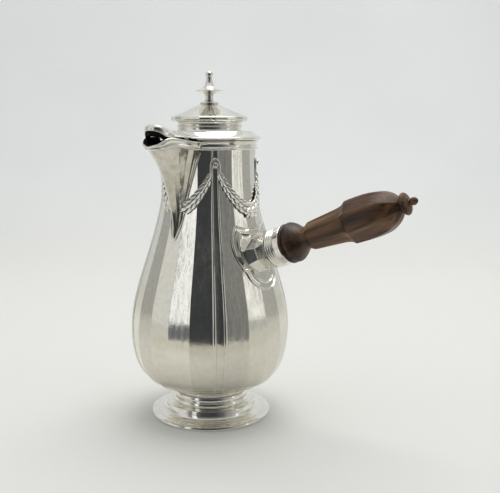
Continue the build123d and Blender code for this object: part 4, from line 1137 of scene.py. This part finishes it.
# Painted shade in the mouth: a thick near-black wire under the rim, carried on back below the roof's sides.
SHADE_SHARE, SHADE_BACK, SHADE_DROP = 0.9, 1.1, 1.8
SHADE_WIRE = 3.4
SHADE_SIDE = (42.0, 45.0, 48.0)    # reach of its places below the sides
shade_side = []
for reach in SHADE_SIDE:
    half = (roof_half(reach) - RIM_IN) * SHADE_SHARE
    shade_side.append((half, SHADE_BACK - reach, along(roof_run, reach).y - SHADE_DROP))
shade_points = [(-across, ahead, height) for across, ahead, height in shade_side]
for across, ahead, height in rim_points:
    shade_points.append((across * SHADE_SHARE, ahead + SHADE_BACK, height - RIM_LIFT - SHADE_DROP))
mouth_shade = wire("mouth_shade", shade_points + shade_side[::-1], SHADE_WIRE)

# The fine joint where the roof is let into the beak: sideways and reach, from the middle.
ROOF_SEAM = ((0.0, 43.2), (4.0, 43.6), (8.0, 44.9), (11.2, 46.6))
SEAM_WIRE, SEAM_LIFT = 0.3, 0.02
seam_half = smooth_points(ROOF_SEAM, 8)
seam_line = [(-across, reach) for across, reach in reversed(seam_half[1:])] + seam_half
seam = wire("roof_seam", [
    (across, -reach, roof_height(across / (roof_half(reach) * ROOF_INSET), reach) + SEAM_LIFT)
    for across, reach in seam_line
], SEAM_WIRE)

for trim, finish in ((mouth_rim, sheet_silver), (mouth_shade, shade_black_silver), (seam, sheet_silver)):
    trim.data.materials.append(finish)
work_on(mouth_rim, mouth_shade, seam, roof)
bpy.ops.object.join()
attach(roof, "pot")
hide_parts("spout_roof")

# ======================================================================================
# Handle plate
# Cartouche of sheet silver soldered over the body under the handle: a border with a bead
# at each edge, drawn in at two notches with a scroll in each, and a plain field.
# ======================================================================================
# Right half of the outline, sideways and height, seen along the handle; the outline arrives
# at each corner, and leaves it, past the place named with it.
PLATE_TOP, TOP_FROM, TOP_TO = (15.5, 141.8), (8.0, 139.6), (17.9, 137.5)
PLATE_DIP = 138.9         # height of the top at its middle
PLATE_LOBE = (20.6, 128.0)
PLATE_NOTCH, NOTCH_FROM = (16.8, 111.6), (18.9, 116.2)
PLATE_TAIL, TAIL_TO = (15.2, 109.4), (12.9, 104.6)
PLATE_FOOT = 96.8
PLATE_MIDDLE = 121.0
PLATE_FIELD = 6           # rings of the plain field, closing on its middle
# Across the border: distance in from the outline and height over the body.
PLATE_FORM = (
    (0.0, 0.05), (0.0, 0.75), (0.1, 1.15), (0.35, 1.5), (0.65, 1.5), (0.9, 1.15), (1.0, 0.7), (1.25, 0.42),
    (2.2, 0.36), (3.4, 0.38), (4.05, 0.5), (4.2, 0.85), (4.4, 1.3), (4.7, 1.45), (5.0, 1.25), (5.15, 0.8),
    (5.4, 0.55),
)
SCROLL_OUTER, SCROLL_INNER = (17.6, 111.3), (11.4, 112.6)
SCROLL_THICK = (1.25, 1.35)


def on_front(across, height, lift):
    """Point over the body where a line along the handle's side of the pot meets it."""
    angle = 0.0
    for _ in range(4):
        reach = hypot(*skin(angle, height)[:2])
        angle = degrees(asin(max(-1.0, min(1.0, across / reach))))
    return skin(angle, height, lift)


def corner_inset(before, corner, after, inset):
    """Corner of an outline moved in by the same distance from both its sides."""
    sides = []
    for start, end in ((before, corner), (corner, after)):
        run = (Vector(end) - Vector(start)).normalized()
        sides.append(Vector((run.y, -run.x)))
    middle = sides[0] + sides[1]
    return Vector(corner) + middle * (inset / (1 + sides[0].dot(sides[1])))


def plate_outline(inset):
    """Points round the cartouche, clockwise from the left end of its top, moved in by an inset."""
    def other(place):
        return -place[0], place[1]

    top = corner_inset(TOP_FROM, PLATE_TOP, TOP_TO, inset)
    notch = corner_inset(NOTCH_FROM, PLATE_NOTCH, PLATE_TAIL, inset)
    tail = corner_inset(PLATE_NOTCH, PLATE_TAIL, TAIL_TO, inset)
    side = (PLATE_LOBE[0] - inset, PLATE_LOBE[1])
    return [
        *arc_points(other(top), (0.0, PLATE_DIP - inset), top, 24)[:-1],
        *arc_points(top, side, notch, 24)[:-1], tuple(notch),
        *arc_points(tail, (0.0, PLATE_FOOT + inset), other(tail), 32), other(notch),
        *arc_points(other(notch), other(side), other(top), 24)[1:-1],
    ]


plate_around = len(plate_outline(0.0))
plate_rows = len(PLATE_FORM) - 1 + PLATE_FIELD


def plate_point(column, row):
    inset, lift = PLATE_FORM[min(row, len(PLATE_FORM) - 1)]
    across, height = plate_outline(inset)[column % plate_around]
    share = min((plate_rows - row) / PLATE_FIELD, 1.0)
    return on_front(across * share, PLATE_MIDDLE + (height - PLATE_MIDDLE) * share, lift)


plate = shaped_sheet("handle_plate_chased", plate_around, plate_rows, plate_point)
face_out(plate, merge=1e-6)
smooth_over(plate, 50)

# A short rolled end lies across the border in each notch.
scrolls = []
for side in (1, -1):
    start, end = (on_front(side * across, height, 1.0) for across, height in (SCROLL_OUTER, SCROLL_INNER))
    scroll = start_piece(
        "scroll", bpy.ops.mesh.primitive_uv_sphere_add, segments=20, ring_count=12, radius=0.001,
        location=(start + end) / 2000, rotation=(start - end).to_track_quat("Z", "X").to_euler(),
        scale=(*SCROLL_THICK, (start - end).length / 2))
    bpy.ops.object.shade_smooth()
    scrolls.append(scroll)
work_on(*scrolls, plate)
bpy.ops.object.join()
finish_piece(plate, sheet_silver, "pot", "silver", "handle_plate")

# ======================================================================================
# Handle socket and ferrule
# Eight-sided boss, flared on to the plate and opened out again to a round ferrule with
# three reeds, a deep groove and a plain band; a silver pin holds the wood's tenon.
# ======================================================================================
HANDLE_TILT = 21.2        # degrees above the horizontal
HANDLE_FOOT = (0.040, 0.0, 0.1198)
HANDLE_SIDES = 8
# Distance along the handle's axis and half width over the flats, in millimetres.
SOCKET_FORM = (
    (-4.0, 14.9), (-1.5, 13.9), (1.5, 12.6), (4.5, 11.0), (7.5, 9.6), (9.8, 9.9), (12.5, 10.7),
    (15.0, 11.7), (17.3, 12.7),
)
FERRULE_START = 17.53
FERRULE_END = 11.47       # from its start
FERRULE_R = 13.3
REED_PITCH = 1.8
REED_DEPTH = 0.7
TENON_R = 7.65
PIN_AT = 0.0256           # from the handle's foot, in metres
PIN_R, PIN_LENGTH = 0.001, 0.0262

to_handle = Matrix.Translation(HANDLE_FOOT) @ Matrix.Rotation(radians(90 - HANDLE_TILT), 4, "Y")


def set_on_handle(piece, place=Matrix()):
    """Moves a piece made upright at the origin on to the handle's slanting axis."""
    piece.matrix_world = to_handle @ place
    set_place(piece)


def eight_sided(name, form):
    """Faceted form drawn up the Z axis through (distance, half width over flats)."""
    levels = [(distance / 1000, size / 1000) for distance, size in form]
    start, half = levels[0]
    half_turn = pi / HANDLE_SIDES
    piece = start_piece(name, bpy.ops.mesh.primitive_circle_add,
                        vertices=HANDLE_SIDES, radius=half / cos(half_turn),
                        location=(0, 0, start), rotation=(0, 0, half_turn))
    edit(piece)
    select_whole()
    bpy.ops.mesh.edge_face_add()
    select_whole()
    draw_up(levels)
    face_out(piece)
    return piece


socket = eight_sided("socket_raised", SOCKET_FORM)
soften(socket, 0.00022)
settle_normals(socket, 40)
set_on_handle(socket)
finish_piece(socket, sheet_silver, "pot", "silver", "handle_socket")

reeds = []
for reed in range(3):
    low = reed * REED_PITCH
    reeds += arc_points(
        (FERRULE_R - REED_DEPTH, low), (FERRULE_R, low + REED_PITCH / 2),
        (FERRULE_R - REED_DEPTH, low + REED_PITCH), 8)
ferrule = turn_piece("ferrule_turned", lifted([
    (TENON_R, 0.0), *reeds, (11.7, 6.0), *arc_points((12.8, 6.75), (13.1, 7.0), (13.15, 7.4), 3),
    (13.2, FERRULE_END - 0.3), (12.95, FERRULE_END), (TENON_R, FERRULE_END),
], FERRULE_START))
set_on_handle(ferrule)
finish_piece(ferrule, spun_silver, "pot", "silver", "handle_ferrule")

pin = start_piece(
    "handle_pin_driven", bpy.ops.mesh.primitive_cylinder_add, vertices=24, radius=PIN_R, depth=PIN_LENGTH)
set_on_handle(pin, Matrix.Translation((0, 0, PIN_AT)) @ Matrix.Rotation(pi / 2, 4, "X"))
soften(pin, 0.0002, 60)
settle_normals(pin, 40)
finish_piece(pin, spun_silver, "pot", "silver", "handle_pin")

# ======================================================================================
# Wooden grip
# Dark hardwood turned on the lathe at both ends and cut to eight flats between: a bell
# against the ferrule, a tapered shaft, a longer bulb, and a small knob with a ball.
# ======================================================================================
GRIP_START = 29.03
KNOB_START = 114.8
SHAFT_FORM = (
    (46.03, 6.9), (46.4, 7.5), (49.5, 9.1), (52.0, 9.4), (58.0, 9.85), (64.0, 10.3), (70.0, 10.75),
    (74.0, 11.1), (76.5, 11.55), (78.4, 12.25), (79.7, 13.0), (80.4, 13.6), (81.2, 13.75), (85.0, 13.9),
    (90.3, 13.92), (95.0, 13.75), (99.0, 13.35), (102.5, 12.6), (105.5, 11.55), (108.2, 10.2), (110.6, 8.6),
    (112.8, 6.6), (114.83, 4.4),
)
WOOD_SHADES = (
    (0.32, (0.016, 0.007, 0.003)), (0.44, (0.078, 0.035, 0.014)),
    (0.56, (0.145, 0.068, 0.029)), (0.70, (0.26, 0.14, 0.065)),
)
# Painted shade on the bell, and where along the handle it fades out.
BELL_SHADE = (0.38, 0.31, 0.27)
BELL_FADE = (0.038, 0.047)    # along the handle, from its foot

grip = turn_piece("grip_turned", lifted([
    (0.0, -14.7), (7.55, -14.7), (7.6, -14.6), (7.6, 0.0),
    *arc_points((12.5, 0.0), (13.45, 1.0), (12.7, 2.0)),
    *arc_points((12.65, 2.05), (12.35, 2.3), (12.7, 2.6), 3),
    *smooth_points(((12.9, 2.8), (13.5, 4.4), (13.25, 5.9), (12.6, 7.2)), 4),
    *arc_points((12.4, 7.4), (12.1, 7.6), (12.1, 7.9), 3),
    *smooth_points(((11.8, 8.5), (10.3, 10.4), (8.7, 12.3), (7.8, 14.0), (7.35, 15.8), (7.2, 17.0)), 4),
    (7.1, 18.0), (0.0, 18.0),
], GRIP_START), 96, 30)

shaft = eight_sided("shaft", SHAFT_FORM)
soften(shaft, 0.0004)
settle_normals(shaft, 32)

knob = turn_piece("knob", lifted([
    (0.0, -1.0), (4.3, -1.0), (4.3, 0.0), *arc_points((4.0, 0.2), (3.7, 0.7), (4.1, 1.1), 4),
    *arc_points((6.3, 1.3), (7.15, 2.3), (6.5, 3.3)),
    *smooth_points(((6.2, 3.6), (4.9, 4.2), (3.2, 4.75), (2.0, 5.1), (1.7, 5.5)), 3),
    *arc_points((1.75, 5.7), (2.48, 8.1), (0.0, 10.58), 10),
], KNOB_START), 48, 30)

work_on(shaft, knob, grip)
bpy.ops.object.join()
set_on_handle(grip)


def dark_wood():
    """Waxed dark hardwood: long streaks along the handle, fine pores and a worn sheen."""
    made, tree, wood = new_material("dark_wood", {"Specular IOR Level": 0.45})
    tilt = radians(HANDLE_TILT)
    along_grip = placed(tree, coordinates(tree), "Rotation", (0, tilt, 0))
    drawn = placed(tree, along_grip, "Scale", (0.07, 1.0, 1.0))
    streaks = ramp(tree, noise(tree, drawn, 210.0, 6.0, 0.6, 0.6), WOOD_SHADES)
    fine = noise(tree, drawn, 1500.0, 3.0)
    # Painted shade: the bell by the ferrule is darkened, for the shade that falls on it there.
    foot = HANDLE_FOOT[0] * cos(tilt) + HANDLE_FOOT[2] * sin(tilt)
    clear = remap(tree, part_of(tree, along_grip, "X"), [foot + fade for fade in BELL_FADE])
    shaded = mixed(tree, maths(tree, "SUBTRACT", 1.0, clear), streaks, BELL_SHADE, "MULTIPLY")
    feed(wood, {
        "Base Color": shaded,
        "Roughness": remap(tree, fine, (0.0, 1.0), (0.30, 0.52)),
        "Normal": bump(tree, fine, 0.0002, strength=0.5),
    })
    return made


finish_piece(grip, dark_wood(), "pot", "handle_wood", "handle_grip")

# ======================================================================================
# Studs
# Four small turned studs on the ribs that the garlands seem to hang from: a flat base and
# a domed head with a dimple, soldered on.
# ======================================================================================
STUD_Z = 182.0
STUD_BEARINGS = {"back_right": 45, "back_left": 135, "front_left": 225, "front_right": 315}

first_stud = turn_piece("stud", [
    (0.0, -0.6), (2.6, -0.6), (2.65, 0.9), (2.4, 1.2), (1.8, 1.3),
    *arc_points((1.85, 1.5), (1.95, 2.2), (1.5, 2.95)),
    *arc_points((1.4, 3.0), (1.15, 3.05), (0.9, 2.9), 3),
    *arc_points((0.8, 2.75), (0.55, 2.3), (0.0, 2.1), 5),
], 28, 40)


def copy_of(first, name):
    """A copy with its own mesh."""
    piece = first.copy()
    piece.data = first.data.copy()
    piece.name = name
    scene.collection.objects.link(piece)
    return piece


def on_skin(angle, height):
    """Frame on the body's skin: Z out of the skin, X level, Y up the body."""
    tilt = atan2(body_radius(height - 1) - body_radius(height + 1), 2.0)
    turn = radians(angle)
    out = Vector((cos(turn) * cos(tilt), sin(turn) * cos(tilt), sin(tilt)))
    level = Vector((-sin(turn), cos(turn), 0))
    turned = Matrix((level, out.cross(level), out)).transposed().to_4x4()
    return Matrix.Translation(skin(angle, height) / 1000) @ turned


for place, bearing in STUD_BEARINGS.items():
    stud = copy_of(first_stud, "stud_turned_" + place)
    stud.matrix_world = on_skin(bearing, STUD_Z)
    set_place(stud)
    finish_piece(stud, spun_silver, "pot", "silver", "stud_" + place)
bpy.data.objects.remove(first_stud, do_unlink=True)

# ======================================================================================
# Garlands
# Cast laurel garlands soldered to the body from stud to stud: three rows of overlapping
# leaves with their tips towards the middle, a ribbon over each stud, and a spray of
# leaves and berries at the lowest point. The two beside the spout stop at its root.
# ======================================================================================
SWAG_LOW = 151.2
SWAG_TURN = 45.0          # degrees from its middle to a stud
SWAG_SAG = 1.9            # power by which it rises towards the studs
SWAG_HALF = (0.9, 4.9)    # half width by the stud and at the middle
SWAG_SWELL = 0.8          # power by which it widens towards the middle
SWAG_R = 33.0             # of the body behind the garlands
LEAF_LENGTH, LEAF_WIDTH, LEAF_PITCH = 10.2, 4.2, 5.4
LEAF_LEAST = 0.34         # part of a leaf's size that is the same all along the swag
LEAF_RUN = (0.05, 0.94)   # shares of the way to a stud between which the leaves lie
LEAF_LIMIT = 44.0         # degrees from the middle past which none is laid
LEAF_LIFT = (0.25, 0.35)  # over the body at the middle, and what is added up to the studs
LEAF_FAN = 21.0           # degrees that the outer rows turn away from the swag's line
ROW_OUT = 0.56            # place of the outer rows, as a share of the half width
LEAF_THICK = 0.0006
# Rows of leaves: place across the swag, and lift over the other rows.
LEAF_ROWS = ((-1, 0.0), (1, 0.0), (0, 0.55))
CUT_END = 0.20            # how far towards the middle the cut garlands reach
# One leaf: place along it, width there and height over its bed, in leaf lengths, and then
# place across it, with the dome of its two halves.
LEAF_ALONG = (
    (-0.5, 0.12, 0.02), (-0.32, 0.62, 0.055), (-0.1, 0.98, 0.10), (0.12, 0.92, 0.14), (0.32, 0.55, 0.165),
    (0.5, 0.03, 0.15),
)
LEAF_ACROSS = ((-1.0, 0.0), (-0.6, 0.085), (-0.12, 0.045), (0.12, 0.045), (0.6, 0.085), (1.0, 0.0))
FIRST_LEAF = 10.0         # length and width of the leaf that the others are copied from
# The spray: heading, place across and length of its leaves, then place across and height
# of its berries.
SPRAY_LEAVES = ((-122, -32 / 22 * 2.4, 7.6), (-90, 0.0, 8.6), (-58, 32 / 22 * 2.4, 7.6))
SPRAY_Z, SPRAY_WIDTH, SPRAY_LIFT = 149.2, 5.2, 0.35
BERRIES = (
    (-1.9, 151.6), (1.9, 151.6), (0.0, 152.9), (0.0, 150.0), (-1.2, 148.4), (1.2, 148.4), (0.0, 146.8))
BERRY_R, BERRY_LIFT = 1.15, 1.35
# The ribbon's two loops: half width and rise over the stud, where along the swag it ends,
# which side of the leaves it runs down, its thickness and its lift.
RIBBON_LOOPS = ((2.9, 4.2, 0.72, 1.0, 1.25, 0.55), (1.5, 3.1, 0.86, -0.2, 0.8, 0.45))
RIBBON_STEPS = 9
RIBBON_IN = 0.92          # share of the way to the stud where it goes in among the leaves
RIBBON_R = 31.9           # of the body behind the studs


def leaf_place(column, row):
    """Point of the first leaf: as wide as it is long, creased along the middle."""
    along_leaf, wide, bed = LEAF_ALONG[row]
    across, dome = LEAF_ACROSS[column]
    return FIRST_LEAF * along_leaf, FIRST_LEAF * across * wide / 2, FIRST_LEAF * (bed + dome * wide)


first_leaf = shaped_sheet("leaf", len(LEAF_ACROSS) - 1, len(LEAF_ALONG) - 1, leaf_place)
face_out(first_leaf, towards=(0, 0, 1))
give_wall(first_leaf, LEAF_THICK)


def swag_line(share):
    """Bearing and height on a swag's centre line; share runs from -1 to 1 between its studs."""
    return SWAG_TURN * share, SWAG_LOW + (STUD_Z - SWAG_LOW) * abs(share) ** SWAG_SAG


def swag_half(share):
    return SWAG_HALF[0] + (SWAG_HALF[1] - SWAG_HALF[0]) * (1 - abs(share)) ** SWAG_SWELL


def leaf_size(share):
    """Size of the leaves here, as a share of those at the middle."""
    return LEAF_LEAST + (1 - LEAF_LEAST) * swag_half(share) / SWAG_HALF[1]


def swag_heading(share):
    """Degrees that the swag's line, followed towards its middle, makes with the level."""
    angle, height = swag_line(share)
    ahead, ahead_height = swag_line(share + (-0.01 if share > 0 else 0.01))
    return degrees(atan2(ahead_height - height, radians(ahead - angle) * body_radius(height)))


def leaf_shares():
    """Places of the leaves along a whole swag, closer together where they are smaller."""
    steps = 40
    spots = [swag_line(step / steps) for step in range(steps + 1)]
    half_run = sum(hypot(radians(b[0] - a[0]) * SWAG_R, b[1] - a[1]) for a, b in zip(spots, spots[1:]))
    shares = []
    share, end = LEAF_RUN
    while share < end:
        shares += [share, -share]
        share += LEAF_PITCH * leaf_size(share) / half_run
    return sorted(shares)


def lay_leaf(angle, height, heading, length, width, lift, quarter):
    """Copy of the leaf bent on to the body, its tip pointing along a heading."""
    piece = copy_of(first_leaf, "leaf")
    reach = body_radius(height)
    ahead_run, up_run = cos(radians(heading)), sin(radians(heading))
    for point in piece.data.vertices:
        ahead, aside, over = (part * 1000 / FIRST_LEAF for part in point.co)
        sideways = ahead * length * ahead_run - aside * width * up_run
        upwards = ahead * length * up_run + aside * width * ahead_run
        bearing = angle + degrees(sideways / reach) + quarter
        point.co = skin(bearing, height + upwards, lift + over * length) / 1000
    return piece


def swag_leaves(share, quarter):
    """The leaves that lie side by side at one place of the swag."""
    made = []
    size, turn = leaf_size(share), swag_heading(share)
    ahead_run, up_run = cos(radians(turn)), sin(radians(turn))
    for row, own_lift in LEAF_ROWS:
        ahead = 0.0 if row else 0.5 * LEAF_PITCH * size
        across = row * ROW_OUT * swag_half(share)
        angle, height = swag_line(share)
        angle += degrees((ahead * ahead_run - across * up_run) / SWAG_R)
        height += ahead * up_run + across * ahead_run
        if abs(angle) <= LEAF_LIMIT:
            # Leaves nearer the stud lie over the ones before them.
            lift = LEAF_LIFT[0] + LEAF_LIFT[1] * abs(share) + own_lift
            made.append(lay_leaf(
                angle, height, turn + row * LEAF_FAN, LEAF_LENGTH * size, LEAF_WIDTH * size, lift, quarter))
    return made


def spray(quarter):
    """Leaves and berries that hang at the lowest point."""
    made = []
    for heading, aside, length in SPRAY_LEAVES:
        made.append(lay_leaf(
            degrees(aside / SWAG_R), SPRAY_Z, heading, length, SPRAY_WIDTH, SPRAY_LIFT, quarter))
    for aside, height in BERRIES:
        place = skin(degrees(aside / SWAG_R) + quarter, height, BERRY_LIFT) / 1000
        made.append(start_piece("berry", bpy.ops.mesh.primitive_uv_sphere_add,
                                segments=14, ring_count=9, radius=BERRY_R / 1000, location=place))
        bpy.ops.object.shade_smooth()
    return made


def ribbon(side, quarter):
    """Half of the loop over a stud, running down into the leaves, and a thinner one inside it."""
    made = []
    for wide, top, end, leaf_side, thickness, lift in RIBBON_LOOPS:
        line = []
        for step in range(RIBBON_STEPS + 1):
            turn = pi / 2 * step / RIBBON_STEPS
            angle = SWAG_TURN - degrees(wide * sin(turn) / RIBBON_R)
            line.append((angle, STUD_Z + top * cos(turn) - 0.6 * sin(turn)))
        for step in range(1, RIBBON_STEPS):
            share = RIBBON_IN + (end - RIBBON_IN) * step / (RIBBON_STEPS - 1)
            angle, height = swag_line(share)
            half = (swag_half(share) - 0.5) * leaf_side
            line.append((angle - degrees(half * 0.35 / RIBBON_R), height + half * 0.9))
        points = [skin(side * angle + quarter, height, lift) for angle, height in line]
        made.append(wire("ribbon", points, thickness))
    return made


def make_garland(name, quarter, start, end):
    """One garland from share to share, as one piece."""
    parts = []
    for share in leaf_shares():
        if start <= share <= end:
            parts += swag_leaves(share, quarter)
    for side in (-1, 1):
        if side in (start, end):
            parts += ribbon(side, quarter)
    if start < 0 < end:
        parts += spray(quarter)
    work_on(*parts)
    bpy.ops.object.join()
    garland = bpy.context.active_object
    garland.name = name
    smooth_over(garland, 38)
    return garland


def chased_silver():
    """Cast and chased silver, pale, with painted shade darkening it in the hollows between the leaves."""
    made = silver("chased_silver", pale=(1.0, 0.98, 0.92), dull=(0.95, 0.93, 0.87), rough=(0.10, 0.24),
                  dents=0.0, wave_height=0.0001, dent_scale=900.0, brush_scale=700.0)
    tree, metal, colour = colour_of(made)
    # Painted shade: where the leaves crowd each other the colour goes almost black.
    hollow = add_node(tree, "AmbientOcclusion", {"Distance": 0.0014}, samples=8, only_local=False)
    open_share = remap(tree, hollow.outputs["AO"], (0.25, 0.7), (0.10, 1.0))
    feed(metal, {"Metallic": 0.85, "Base Color": mixed(tree, open_share, (0.045, 0.036, 0.025), colour)})
    return made


chased = chased_silver()
# Bearing of the garland's middle, and the shares between which it runs.
GARLANDS = {
    "handle": (0, -1, 1), "back": (90, -1, 1), "side": (180, -1, 1),
    "spout_right": (270, CUT_END, 1), "spout_left": (270, -1, -CUT_END),
}
for place, run in GARLANDS.items():
    garland = make_garland("garland_cast_" + place, *run)
    finish_piece(garland, chased, "pot", "silver", "garland_" + place)
bpy.data.objects.remove(first_leaf, do_unlink=True)

# The CAD nodes keep their own shapes and take the sheet's finish.
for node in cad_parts.values():
    if not node.material_slots:
        node.data.materials.append(sheet_silver)
    for slot in node.material_slots:
        slot.material = sheet_silver
